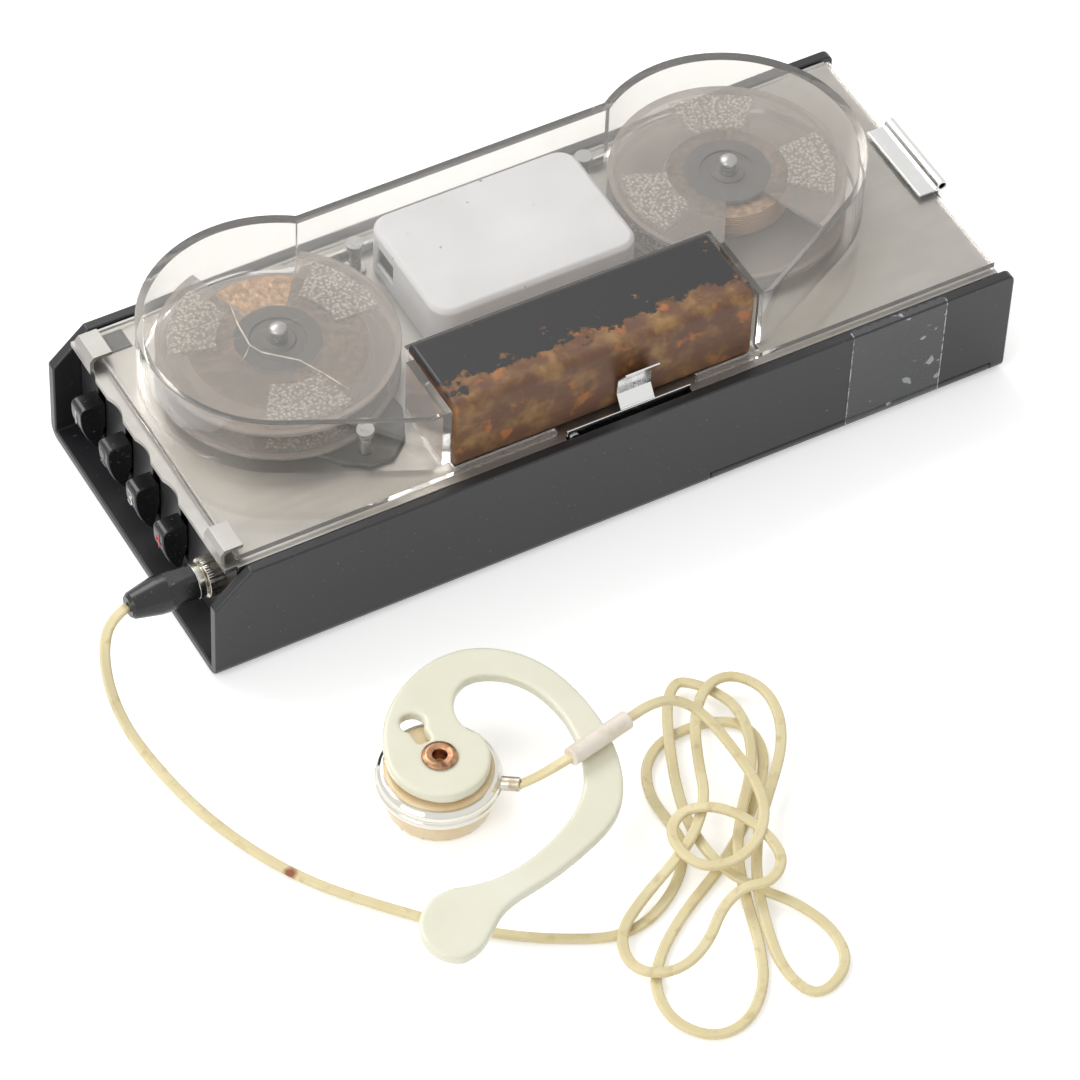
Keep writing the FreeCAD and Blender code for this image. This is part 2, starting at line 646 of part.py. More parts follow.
# Cord routes, chosen by hand along the photographed lead
LEAD = [V(PLUG_TIP_X, JACK.y, JACK.z), V(-98.4, -24.2, 15.2), V(-101.3, -27.2, 11.6),
        V(-102.6, -32.0, 6.6), V(-102.4, -38.6, 2.4), V(-101.0, -48.0, 1.2), V(-98.9, -59.4, 1.0),
        V(-94.8, -71.4, 1.0), V(-88.8, -82.6, 1.0), V(-80.6, -92.4, 1.0), V(-71.8, -101.8, 1.0),
        V(-62.4, -109.6, 1.0), V(-52.6, -115.2, 1.0)]
TAIL_TOP = [V(-8.4, -93.6, 6.2), V(-11.0, -86.9, 9.4), V(-16.4, -83.6, 12.2),
            V(-22.6, -83.8, 14.0)]
SLEEVE_A = V(-28.6, -85.6, 14.8)
SLEEVE_B = V(-41.5, -88.4, 14.7)
TAIL_END = [V(-45.0, -88.0, 13.0), V(-47.6, -86.4, 10.0), V(-49.2, -84.9, 7.8)]
CRIMP_END = V(-51.9, -82.8, 7.4)


def arc_at(point, tangent, end):
    """Arc that leaves point along tangent and passes through end."""
    chord = end - point
    along = chord.dot(tangent)
    side = chord - tangent * along
    if side.Length < 1e-4 * chord.Length:
        return Part.LineSegment(point, end), tangent
    normal = V(side).normalize()
    radius = chord.dot(chord) / (2 * side.Length)
    centre = point + normal * radius
    turn = math.atan2(along, radius - side.Length)
    if turn < 0:
        turn += 2 * math.pi
    mid = centre + tangent * (radius * math.sin(turn / 2)) - normal * (radius * math.cos(turn / 2))
    leave = tangent * math.cos(turn) + normal * math.sin(turn)
    return Part.Arc(point, mid, end), leave


def biarc(p, tp, q, tq):
    """Two tangent arcs that join p and q along the given directions."""
    chord = q - p
    both = tp + tq
    a = 2 * (1 - tp.dot(tq))
    b = 2 * chord.dot(both)
    c = -chord.dot(chord)
    if abs(a) < 1e-9:
        reach = -c / b
    else:
        reach = (-b + math.sqrt(b * b - 4 * a * c)) / (2 * a)
    joint = (p + q + (tp - tq) * reach) * 0.5
    first, turned_to = arc_at(p, tp, joint)
    second, _ = arc_at(joint, turned_to, q)
    return [first, second]


def smooth_path(points):
    """Straight runs joined by arcs, each as large as its two runs allow."""
    edges = []
    radii = []
    here = points[0]
    for a, b, c in zip(points, points[1:], points[2:]):
        run_in = b - a
        run_out = c - b
        u = V(run_in).normalize()
        w = V(run_out).normalize()
        turn = math.acos(max(-1, min(1, u.dot(w))))
        cut = 0.45 * min(run_in.Length, run_out.Length)
        radius = cut / math.tan(turn / 2)
        start = b - u * cut
        stop = b + w * cut
        middle = V(w - u).normalize()
        centre = b + middle * (radius / math.cos(turn / 2))
        mid = centre - middle * radius
        edges.append(Part.LineSegment(here, start))
        edges.append(Part.Arc(start, mid, stop))
        radii.append(radius)
        here = stop
    edges.append(Part.LineSegment(here, points[-1]))
    return edges, radii


def tube(edges, diameter):
    wire = Part.Wire([e.toShape() for e in edges])
    first = wire.Edges[0]
    start = first.valueAt(first.FirstParameter)
    ahead = first.tangentAt(first.FirstParameter)
    side = ahead.cross(V(0, 0, 1)).normalize()
    up = side.cross(ahead).normalize()
    corners = []
    for i in range(CORD_SIDES):
        angle = 2 * math.pi * (i + 0.5) / CORD_SIDES
        corners.append(start + (side * math.cos(angle) + up * math.sin(angle)) * (diameter / 2))
    section = Part.makePolygon(corners + [corners[0]])
    return wire.makePipeShell([section], True, False), wire.Length


def hank_point(turns):
    """Centre line of the hank: ovals drawn in at the waist, spiralling in, up and out."""
    half = HANK_TURNS / 2
    layer = max(0.0, min(1.0, (turns - half + 0.25) / 0.5))
    rise = layer * layer * (3 - 2 * layer)
    inset = HANK_STEP * (turns if turns < half else HANK_TURNS - turns)
    angle = math.radians(HANK_START) - 2 * math.pi * turns
    along = (HANK_HALF - inset) * math.cos(angle)
    end = along / HANK_HALF
    wide = (HANK_WIDE + HANK_NARROW) / 2 - end * (HANK_WIDE - HANK_NARROW) / 2 - inset
    pinch = 1 - HANK_PINCH * math.exp(-(along / HANK_WAIST) ** 2)
    across = wide * pinch * math.sin(angle) - end * HANK_SHIFT
    c = math.cos(HANK_AXIS)
    s = math.sin(HANK_AXIS)
    return V(HANK_C.x + along * c + across * s, HANK_C.y + along * s - across * c,
             CORD_FLOOR + 0.05 + HANK_LAYER * rise)


def hank_tangent(turns):
    step = 1e-4
    return (hank_point(turns + step) - hank_point(turns - step)).normalize()


def cord_hank():
    count = int(HANK_TURNS * TURN_STEPS)
    edges = []
    for i in range(count):
        a = HANK_TURNS * i / count
        b = HANK_TURNS * (i + 1) / count
        edges += biarc(hank_point(a), hank_tangent(a), hank_point(b), hank_tangent(b))
    return edges


def hank_gap(edges):
    """Least distance between turns of the tube, on points along its centre line."""
    samples = []
    walked = 0.0
    for edge in [e.toShape() for e in edges]:
        steps = max(2, int(edge.Length / 1.0))
        for k in range(steps):
            t = edge.FirstParameter + (edge.LastParameter - edge.FirstParameter) * k / steps
            samples.append((walked + edge.Length * k / steps, edge.valueAt(t)))
        walked += edge.Length
    least = 99.0
    for i, (s, p) in enumerate(samples):
        for t, q in samples[i + 1:]:
            if t - s > 12:
                least = min(least, (p - q).Length)
    return least - CORD_D


def sleeve():
    step = SLEEVE_B - SLEEVE_A
    return Part.makeCylinder(1.75, step.Length, SLEEVE_A, step)


def crimp():
    step = CRIMP_END - TAIL_END[-1]
    tab = Part.makeCylinder(1.3, step.Length, TAIL_END[-1], step)
    return tab


def report(name, shape, length, radii):
    want = CORD_SIDES / 2 * math.sin(2 * math.pi / CORD_SIDES) * (CORD_D / 2) ** 2 * length
    print(name, "length", round(length, 1), "volume ratio", round(shape.Volume / want, 4),
          "least radius", round(min(radii), 2), "radii", [round(r, 1) for r in radii])


def cords():
    hank_edges = cord_hank()
    start = hank_point(0)
    finish = hank_point(HANK_TURNS)
    lead_points = LEAD + [start - hank_tangent(0) * 6.0, start]
    leave = hank_tangent(HANK_TURNS)
    tail_points = [finish, finish + leave * 4.0] + TAIL_TOP + [SLEEVE_A]
    out = {}
    lead_edges, lead_radii = smooth_path(lead_points)
    out["cord_lead"], length = tube(lead_edges, CORD_D)
    report("cord_lead", out["cord_lead"], length, lead_radii)
    out["cord_hank"], length = tube(hank_edges, CORD_D)
    arcs = [e.toShape().Curve.Radius for e in hank_edges]
    report("cord_hank", out["cord_hank"], length, arcs)
    print("cord_hank least gap", round(hank_gap(hank_edges), 2))
    tail_edges, tail_radii = smooth_path(tail_points)
    out["cord_tail"], length = tube(tail_edges, CORD_D)
    report("cord_tail", out["cord_tail"], length, tail_radii)
    end_edges, end_radii = smooth_path([SLEEVE_B] + TAIL_END)
    out["cord_end"], length = tube(end_edges, CORD_D)
    report("cord_end", out["cord_end"], length, end_radii)
    return out


def build():
    nodes = {
        "case_tray": case_tray(),
        "bottom_cover": bottom_cover(),
        "key_plate": key_plate(),
        "deck_plate": deck_plate(),
        "lid_latch": lid_latch(),
        "battery_tin": battery_tin(),
        "battery_clip": battery_clip(),
        "clip_blade": clip_blade(),
        "clip_rivet": clip_rivet(),
        "mech_cover": mech_cover(),
        "head_block": head_block(),
        "head_guide": head_guide(),
        "post_near": guide_post(REEL_L.x + 4.7, REEL_L.y - 24.4),
        "post_left": guide_post(COVER_X - COVER_L / 2 - 3.05, LID_BACK - 4.9),
        "post_right": guide_post(COVER_X + COVER_L / 2 + 2.85, LID_BACK - 4.4),
        "motor": motor(),
        "motor_pulley": motor_pulley(),
        "belt_motor": belt(REEL_R, PULLEY_R, MOTOR, MOTOR_PULLEY_R, PULLEY_Z + 0.7),
        "circuit_board": circuit_board(),
        "board_parts": board_parts(),
        "key_shaft": key_shaft(),
        "shaft_stand_near": shaft_stand(key_y(KEY_COUNT - 1) - 4.0),
        "shaft_stand_far": shaft_stand(key_y(0) + 4.0),
        "jack": jack(),
        "jack_nut": jack_nut(),
        "plug_ring": plug_ring(),
        "plug_body": plug_body(),
        "earphone_body": earphone_body(),
        "earphone_ring": earphone_ring(),
        "earphone_cap": earphone_cap(),
        "eyelet": eyelet(),
        "ear_hook": ear_hook(),
        "sleeve": sleeve(),
        "crimp": crimp(),
    }
    reels = (("left", REEL_L, PACK_L, 80.0), ("right", REEL_R, PACK_R, -95.0))
    for side, centre, pack, opening in reels:
        nodes["spool_" + side] = spool(centre, opening)
        nodes["wire_" + side] = wire_pack(centre, pack)
        nodes["spindle_" + side] = spindle(centre)
        nodes["pulley_" + side] = reel_pulley(centre)
        nodes["bearing_" + side] = reel_bearing(centre)
    for i in range(KEY_COUNT):
        nodes["key_%d" % (i + 1)] = key(i)
    nodes.update(lid())
    nodes.update(cords())
    return nodes


os.makedirs("parts", exist_ok=True)
triangles = 0
for name, shape in build().items():
    shape.exportStep("parts/" + name + ".step")
    count = len(shape.tessellate(0.1)[1])
    triangles += count
    size = shape.BoundBox
    print(name, "valid" if shape.isValid() else "NOT VALID", len(shape.Solids), "solids",
          [round(v, 1) for v in (size.XMin, size.XMax, size.YMin, size.YMax, size.ZMin, size.ZMax)],
          count)
print("triangles", triangles)
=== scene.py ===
import math

import bmesh
import bpy
from mathutils import Matrix, Vector


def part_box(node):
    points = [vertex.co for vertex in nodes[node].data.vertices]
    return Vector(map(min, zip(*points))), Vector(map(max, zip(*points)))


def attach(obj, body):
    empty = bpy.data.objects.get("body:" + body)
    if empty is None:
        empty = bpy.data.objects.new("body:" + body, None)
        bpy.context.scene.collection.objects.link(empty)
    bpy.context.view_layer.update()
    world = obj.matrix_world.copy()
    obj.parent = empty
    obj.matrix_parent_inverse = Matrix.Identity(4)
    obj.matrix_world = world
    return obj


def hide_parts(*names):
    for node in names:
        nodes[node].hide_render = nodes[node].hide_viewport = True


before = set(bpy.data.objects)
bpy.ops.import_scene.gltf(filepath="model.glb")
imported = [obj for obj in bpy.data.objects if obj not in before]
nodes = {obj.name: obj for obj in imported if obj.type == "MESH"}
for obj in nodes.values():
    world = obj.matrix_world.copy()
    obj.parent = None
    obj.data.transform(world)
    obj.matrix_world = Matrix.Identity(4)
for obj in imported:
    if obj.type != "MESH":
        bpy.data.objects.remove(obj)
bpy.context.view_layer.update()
MM = 0.001


# Camera, floor and lights: the photograph's long lens from the key end, a white
# table, and two large soft lamps. None of these belongs to the recorder.
camera_data = bpy.data.cameras.new("photo_camera")
camera_data.lens = 189.85
camera_data.sensor_width = 36
camera_data.clip_end = 10
camera = bpy.data.objects.new("photo_camera", camera_data)
bpy.context.collection.objects.link(camera)
camera_right = Vector((0.87456, -0.48387, 0.03199))
camera_up = Vector((0.34525, 0.66763, 0.65960))
camera_back = Vector((-0.34052, -0.56581, 0.75094))
facing = Matrix((camera_right, camera_up, camera_back)).transposed().to_4x4()
camera.matrix_world = Matrix.Translation((-0.36830, -0.61773, 0.77847)) @ facing
bpy.context.scene.camera = camera
bpy.context.scene.view_settings.view_transform = "Standard"


def seen_rays(tree):
    """One where a ray comes from the camera, or off metal or through glass."""
    rays = tree.nodes.new("ShaderNodeLightPath")
    total = rays.outputs["Is Camera Ray"]
    for kind in ("Is Glossy Ray", "Is Transmission Ray"):
        either = tree.nodes.new("ShaderNodeMath")
        either.operation = "MAXIMUM"
        tree.links.new(total, either.inputs[0])
        tree.links.new(rays.outputs[kind], either.inputs[1])
        total = either.outputs[0]
    return total


world = bpy.data.worlds.new("studio")
bpy.context.scene.world = world
world.use_nodes = True
sky = world.node_tree
room = sky.nodes["Background"]
room.inputs["Color"].default_value = (1, 1, 1, 1)
room.inputs["Strength"].default_value = 0.62
white = sky.nodes.new("ShaderNodeBackground")
white.inputs["Color"].default_value = (1, 1, 1, 1)
white.inputs["Strength"].default_value = 1.0
pick = sky.nodes.new("ShaderNodeMixShader")
sky.links.new(seen_rays(sky), pick.inputs[0])
sky.links.new(room.outputs[0], pick.inputs[1])
sky.links.new(white.outputs[0], pick.inputs[2])
sky.links.new(pick.outputs[0], sky.nodes["World Output"].inputs["Surface"])


def soft_lamp(name, place, size, power):
    lamp_data = bpy.data.lights.new(name, "AREA")
    lamp_data.shape = "RECTANGLE"
    lamp_data.size = size[0]
    lamp_data.size_y = size[1]
    lamp_data.energy = power
    lamp = bpy.data.objects.new(name, lamp_data)
    aim = (Vector((-0.01, -0.04, 0)) - Vector(place)).to_track_quat("-Z", "Y")
    lamp.matrix_world = Matrix.Translation(place) @ aim.to_matrix().to_4x4()
    bpy.context.collection.objects.link(lamp)


soft_lamp("lamp_behind", (-0.25, 0.75, 0.95), (0.9, 0.6), 7.0)
soft_lamp("lamp_left", (-1.0, -0.35, 0.75), (0.7, 0.6), 4.5)

floor_mesh = bpy.data.meshes.new("table")
floor_mesh.from_pydata([(-2, -2, 0), (2, -2, 0), (2, 2, 0), (-2, 2, 0)], [], [(0, 1, 2, 3)])
table = bpy.data.objects.new("table", floor_mesh)
table.location.z = -0.0002
bpy.context.collection.objects.link(table)
table_paint = bpy.data.materials.new("table_white")
table_paint.use_nodes = True
table_bsdf = table_paint.node_tree.nodes["Principled BSDF"]
table_bsdf.inputs["Base Color"].default_value = (0.97, 0.97, 0.97, 1)
table_bsdf.inputs["Roughness"].default_value = 1.0
table_bsdf.inputs["Specular IOR Level"].default_value = 0.0
table_bsdf.inputs["Emission Color"].default_value = (1, 1, 1, 1)
table_glow = table_paint.node_tree.nodes.new("ShaderNodeMath")
table_glow.operation = "MULTIPLY"
table_glow.inputs[1].default_value = 0.35
table_paint.node_tree.links.new(seen_rays(table_paint.node_tree), table_glow.inputs[0])
table_paint.node_tree.links.new(table_glow.outputs[0], table_bsdf.inputs["Emission Strength"])
table.data.materials.append(table_paint)


# Earphone lead: a flat twin cord in pale yellow vinyl, moulded with a groove between
# its two conductors. It leaves the plug, runs along the table under the ear hook, is
# wound loosely into a hank that is tied with its own last turn, and ends at the earphone.
CORD_WIDTH = 2.0 * MM
CORD_THICK = 1.25 * MM
lead_run = [(-94.6, -23.6, 16.0), (-98.4, -24.2, 15.2), (-101.3, -27.2, 11.6),
            (-102.6, -32.0, 6.6), (-102.4, -38.6, 2.4), (-101.0, -48.0, 0.9),
            (-98.9, -59.4, 0.8), (-94.8, -71.4, 0.8), (-88.8, -82.6, 0.8),
            (-80.6, -92.4, 0.8), (-71.8, -101.8, 0.8), (-62.4, -109.6, 0.8),
            (-52.6, -115.2, 0.8)]
left_loop = [(-47.6, -117.0, 0.8), (-41.8, -116.9, 0.8), (-35.5, -113.8, 0.8),
             (-30.7, -109.7, 0.8), (-27.5, -104.7, 0.8), (-27.3, -99.5, 0.8),
             (-27.6, -93.2, 0.8), (-25.3, -87.0, 0.8), (-20.3, -83.1, 0.8),
             (-14.0, -82.5, 0.8), (-8.9, -83.3, 0.8), (-4.9, -85.9, 0.8),
             (-3.9, -90.5, 0.8), (-6.1, -96.3, 0.8)]
near_loop = [(-11.5, -102.3, 0.8), (-18.5, -108.1, 0.8), (-25.6, -113.0, 0.8),
             (-35.2, -117.9, 0.8), (-43.4, -124.0, 0.8), (-47.8, -130.1, 0.8),
             (-48.2, -137.5, 0.8), (-43.8, -143.4, 0.8), (-37.0, -143.4, 0.8),
             (-30.4, -137.8, 0.8), (-26.7, -129.5, 0.8), (-24.0, -120.1, 1.2)]
top_loop = [(-21.2, -112.1, 2.4), (-16.1, -104.7, 2.4), (-9.9, -97.8, 2.4),
            (-5.9, -91.0, 2.4), (-4.3, -83.6, 2.4), (-6.2, -78.4, 2.4),
            (-8.6, -74.9, 2.2), (-11.4, -73.1, 2.2), (-15.6, -77.7, 2.4),
            (-19.6, -85.9, 2.4), (-23.3, -94.9, 2.4), (-25.4, -102.7, 2.6),
            (-26.1, -110.7, 3.8)]
right_loops = [(-24.7, -116.6, 3.6), (-21.6, -120.6, 2.6), (-16.2, -126.2, 1.2),
               (-13.7, -133.7, 0.8), (-15.7, -141.1, 0.8), (-23.9, -144.5, 0.8),
               (-26.2, -136.8, 0.8), (-24.1, -127.3, 1.2), (-20.9, -118.0, 3.0),
               (-15.5, -109.6, 3.8), (-8.6, -102.5, 3.8), (-2.6, -96.0, 3.8),
               (1.1, -88.8, 3.6), (1.6, -82.0, 3.4), (-2.1, -76.9, 3.4),
               (-7.7, -77.5, 3.8), (-13.2, -83.2, 4.0), (-17.6, -92.2, 4.4)]
far_left_loop = [(-20.9, -100.7, 5.2), (-26.9, -106.9, 5.2), (-32.6, -109.9, 4.4),
                 (-40.8, -113.2, 2.6), (-47.3, -117.3, 2.2), (-49.4, -123.1, 1.6),
                 (-47.0, -127.9, 2.2), (-41.4, -129.1, 2.2), (-35.0, -126.3, 2.2),
                 (-30.0, -122.0, 4.0)]
tie_turn = [(-24.9, -120.5, 5.2), (-20.1, -121.9, 5.0), (-15.5, -118.6, 5.0),
            (-15.8, -113.0, 6.2), (-18.0, -107.5, 6.6), (-22.0, -103.3, 6.8),
            (-26.7, -101.8, 6.0), (-30.1, -104.0, 5.2), (-31.1, -109.1, 5.6),
            (-29.3, -114.2, 5.8), (-23.8, -115.7, 5.8), (-18.2, -113.9, 6.4)]
to_earphone = [(-13.9, -109.3, 7.0), (-12.3, -103.3, 7.6), (-12.6, -94.3, 8.6),
               (-14.1, -86.5, 10.2), (-17.9, -83.4, 12.2), (-23.0, -83.9, 14.0),
               (-28.6, -85.6, 14.8), (-35.0, -87.0, 14.9), (-41.5, -88.4, 14.7),
               (-45.0, -88.0, 13.0), (-47.6, -86.4, 10.0), (-49.2, -84.9, 7.8)]
cord_route = (lead_run + left_loop + near_loop + top_loop + right_loops + far_left_loop
              + tie_turn + to_earphone)

route_curve = bpy.data.curves.new("cord_line", "CURVE")
route_curve.dimensions = "3D"
spline = route_curve.splines.new("NURBS")
spline.points.add(len(cord_route) - 1)
for point, place in zip(spline.points, cord_route):
    point.co = (place[0] * MM, place[1] * MM, place[2] * MM, 1)
spline.order_u = 3
spline.use_endpoint_u = True
route_curve.resolution_u = 6
route_object = bpy.data.objects.new("cord_line", route_curve)
bpy.context.collection.objects.link(route_object)
line_mesh = bpy.data.meshes.new_from_object(route_object)
cord_line = [v.co.copy() for v in line_mesh.vertices]
bpy.data.objects.remove(route_object)


def along(line):
    """Tangents of a polyline, and the distance walked at each point."""
    ahead = []
    walked = [0.0]
    for i, here in enumerate(line):
        ahead.append((line[min(i + 1, len(line) - 1)] - line[max(i - 1, 0)]).normalized())
        if i:
            walked.append(walked[-1] + (here - line[i - 1]).length)
    return ahead, walked


def swept(name, line, section):
    """A closed tube that carries a flat section, kept level, along a line."""
    mesh = bpy.data.meshes.new(name)
    form = bmesh.new()
    uv = form.loops.layers.uv.new("along")
    ahead, walked = along(line)
    rings = []
    for here, forward in zip(line, ahead):
        side = forward.cross(Vector((0, 0, 1))).normalized()
        up = side.cross(forward).normalized()
        rings.append([form.verts.new(here + side * a + up * b) for a, b in section])
    count = len(section)
    for i in range(len(rings) - 1):
        for k in range(count):
            n = (k + 1) % count
            face = form.faces.new((rings[i][k], rings[i][n], rings[i + 1][n], rings[i + 1][k]))
            face.smooth = True
            for loop, u, v in zip(face.loops, (i, i, i + 1, i + 1), (k, k + 1, k + 1, k)):
                loop[uv].uv = (walked[u] * 100, v / count)
    form.faces.new(rings[0][::-1])
    form.faces.new(rings[-1])
    bmesh.ops.recalc_face_normals(form, faces=form.faces)
    form.to_mesh(mesh)
    form.free()
    piece = bpy.data.objects.new(name, mesh)
    bpy.context.collection.objects.link(piece)
    return piece


lobe = CORD_THICK / 2
middle = CORD_WIDTH / 2 - lobe
cord_section = []
for turn in range(-75, 76, 30):
    a = math.radians(turn)
    cord_section.append((middle + lobe * math.cos(a), lobe * math.sin(a)))
cord_section.append((0, lobe * 0.55))
for turn in range(105, 256, 30):
    a = math.radians(turn)
    cord_section.append((-middle + lobe * math.cos(a), lobe * math.sin(a)))
cord_section.append((0, -lobe * 0.55))
cord = swept("earphone_cord", cord_line, cord_section)


def new_finish(name, colour, roughness, metal=0.0):
    """A material with its Principled shader's plain values set on their sockets."""
    finish = bpy.data.materials.new(name)
    finish.use_nodes = True
    shader = finish.node_tree.nodes["Principled BSDF"]
    shader.inputs["Base Color"].default_value = (*colour, 1)
    shader.inputs["Roughness"].default_value = roughness
    shader.inputs["Metallic"].default_value = metal
    return finish, finish.node_tree, shader


def blotch_group():
    """Soft-edged random patches: how much of the surface they take, and how sharp."""
    tree = bpy.data.node_groups.new("blotches", "ShaderNodeTree")
    tree.interface.new_socket("Vector", in_out="INPUT", socket_type="NodeSocketVector")
    for label, value in (("Scale", 100.0), ("Cover", 0.5), ("Soft", 0.1), ("Detail", 4.0)):
        socket = tree.interface.new_socket(label, in_out="INPUT", socket_type="NodeSocketFloat")
        socket.default_value = value
    tree.interface.new_socket("Mask", in_out="OUTPUT", socket_type="NodeSocketFloat")
    inside = tree.nodes.new("NodeGroupInput")
    outside = tree.nodes.new("NodeGroupOutput")
    noise = tree.nodes.new("ShaderNodeTexNoise")
    level = tree.nodes.new("ShaderNodeMath")
    level.operation = "SUBTRACT"
    level.inputs[0].default_value = 1.0
    low = tree.nodes.new("ShaderNodeMath")
    low.operation = "SUBTRACT"
    high = tree.nodes.new("ShaderNodeMath")
    high.operation = "ADD"
    ramp = tree.nodes.new("ShaderNodeMapRange")
    link = tree.links.new
    link(inside.outputs["Vector"], noise.inputs["Vector"])
    link(inside.outputs["Scale"], noise.inputs["Scale"])
    link(inside.outputs["Detail"], noise.inputs["Detail"])
    link(inside.outputs["Cover"], level.inputs[1])
    link(level.outputs[0], low.inputs[0])
    link(inside.outputs["Soft"], low.inputs[1])
    link(level.outputs[0], high.inputs[0])
    link(inside.outputs["Soft"], high.inputs[1])
    link(noise.outputs["Fac"], ramp.inputs["Value"])
    link(low.outputs[0], ramp.inputs["From Min"])
    link(high.outputs[0], ramp.inputs["From Max"])
    link(ramp.outputs["Result"], outside.inputs["Mask"])
    return tree


blotch_tree = blotch_group()


def blotches(tree, scale, cover, soft, stretch=(1, 1, 1), detail=4.0, shift=(0, 0, 0)):
    """Places the blotches group on a material's object coordinates; returns its mask."""
    place = tree.nodes.new("ShaderNodeTexCoord")
    turn = tree.nodes.new("ShaderNodeMapping")
    turn.inputs["Scale"].default_value = stretch
    turn.inputs["Location"].default_value = shift
    node = tree.nodes.new("ShaderNodeGroup")
    node.node_tree = blotch_tree
    tree.links.new(place.outputs["Object"], turn.inputs["Vector"])
    tree.links.new(turn.outputs["Vector"], node.inputs["Vector"])
    for label, value in (("Scale", scale), ("Cover", cover), ("Soft", soft), ("Detail", detail)):
        node.inputs[label].default_value = value
    return node.outputs["Mask"]


def blend_colour(tree, mask, first, second):
    """Mixes two colours, or colour sockets, by a mask."""
    mix = tree.nodes.new("ShaderNodeMix")
    mix.data_type = "RGBA"
    tree.links.new(mask, mix.inputs[0])
    for socket, value in ((mix.inputs[6], first), (mix.inputs[7], second)):
        if isinstance(value, tuple):
            socket.default_value = (*value, 1)
        else:
            tree.links.new(value, socket)
    return mix.outputs[2]


def blend_value(tree, mask, first, second):
    ramp = tree.nodes.new("ShaderNodeMapRange")
    ramp.inputs["To Min"].default_value = first
    ramp.inputs["To Max"].default_value = second
    tree.links.new(mask, ramp.inputs["Value"])
    return ramp.outputs["Result"]


def bumped(tree, shader, mask, distance, strength=1.0):
    bump = tree.nodes.new("ShaderNodeBump")
    bump.inputs["Distance"].default_value = distance
    bump.inputs["Strength"].default_value = strength
    tree.links.new(mask, bump.inputs["Height"])
    tree.links.new(bump.outputs["Normal"], shader.inputs["Normal"])


vinyl, vinyl_tree, vinyl_shader = new_finish("cord_vinyl", (0.74, 0.63, 0.34), 0.38)
cloudy = blotches(vinyl_tree, 90, 0.5, 0.22)
grime = blotches(vinyl_tree, 420, 0.36, 0.08)
vinyl_colour = blend_colour(vinyl_tree, cloudy, (0.8, 0.71, 0.44), (0.73, 0.62, 0.35))
vinyl_colour = blend_colour(vinyl_tree, grime, vinyl_colour, (0.66, 0.54, 0.29))
spot_place = vinyl_tree.nodes.new("ShaderNodeTexCoord")
spot_far = vinyl_tree.nodes.new("ShaderNodeVectorMath")
spot_far.operation = "DISTANCE"
spot_far.inputs[1].default_value = (-0.0912, -0.0792, 0.0014)
vinyl_tree.links.new(spot_place.outputs["Object"], spot_far.inputs[0])
spot = vinyl_tree.nodes.new("ShaderNodeMapRange")
spot.inputs["From Min"].default_value = 0.0016
spot.inputs["From Max"].default_value = 0.0007
vinyl_tree.links.new(spot_far.outputs["Value"], spot.inputs["Value"])
vinyl_colour = blend_colour(vinyl_tree, spot.outputs["Result"], vinyl_colour, (0.28, 0.08, 0.02))
vinyl_tree.links.new(vinyl_colour, vinyl_shader.inputs["Base Color"])
vinyl_shader.inputs["Subsurface Weight"].default_value = 0.15
vinyl_shader.inputs["Subsurface Radius"].default_value = (0.002, 0.0015, 0.0006)
bumped(vinyl_tree, vinyl_shader, grime, 0.00004)
cord.data.materials.append(vinyl)
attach(cord, "recorder")
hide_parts("cord_lead", "cord_hank", "cord_tail", "cord_end")


def closed_copy(node, name, width, segments=3, angle=30):
    """A CAD solid's skin with its seams closed, flat areas merged and edges rounded."""
    mesh = nodes[node].data.copy()
    mesh.name = name
    mesh.materials.clear()
    for layer in [a for a in mesh.attributes if a.name == "custom_normal"]:
        mesh.attributes.remove(layer)
    form = bmesh.new()
    form.from_mesh(mesh)
    bmesh.ops.remove_doubles(form, verts=form.verts, dist=1e-6)
    bmesh.ops.dissolve_limit(form, angle_limit=math.radians(0.6), verts=form.verts,
                             edges=form.edges)
    for face in form.faces:
        face.smooth = True
    form.to_mesh(mesh)
    form.free()
    piece = bpy.data.objects.new(name, mesh)
    bpy.context.collection.objects.link(piece)
    if width:
        bevel = piece.modifiers.new("edge", "BEVEL")
        bevel.width = width
        bevel.segments = segments
        bevel.limit_method = "ANGLE"
        bevel.angle_limit = math.radians(angle)
        bevel.use_clamp_overlap = True
        level = piece.modifiers.new("level", "WEIGHTED_NORMAL")
        level.keep_sharp = True
    mesh.set_sharp_from_angle(angle=math.radians(34))
    return piece


def settled(piece):
    """Turns a piece's modifiers into plain mesh."""
    depsgraph = bpy.context.evaluated_depsgraph_get()
    mesh = bpy.data.meshes.new_from_object(piece.evaluated_get(depsgraph))
    piece.modifiers.clear()
    piece.data = mesh
    return piece


def dressed(node, body, finish, width, segments=2, angle=30):
    """The usual dress of a moulded or pressed piece: rounded edges and its finish."""
    piece = settled(closed_copy(node, node + "_skin", width * MM, segments, angle))
    piece.data.materials.clear()
    piece.data.materials.append(finish)
    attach(piece, body)
    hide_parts(node)
    return piece


# Vinyl sleeve and crimp: a pinkish tube slipped over the lead where it splits, and the
# tinned tab that grips the lead at the earphone's ring.
sleeve_vinyl, sleeve_tree, sleeve_shader = new_finish("sleeve_vinyl", (0.84, 0.76, 0.66), 0.3)
sleeve_marks = blotches(sleeve_tree, 260, 0.4, 0.1)
sleeve_tree.links.new(blend_colour(sleeve_tree, sleeve_marks, (0.86, 0.79, 0.69), (0.76, 0.66, 0.52)),
                      sleeve_shader.inputs["Base Color"])
sleeve_shader.inputs["Subsurface Weight"].default_value = 0.2
sleeve_shader.inputs["Subsurface Radius"].default_value = (0.002, 0.0015, 0.001)
sleeve = dressed("sleeve", "recorder", sleeve_vinyl, 0.25)

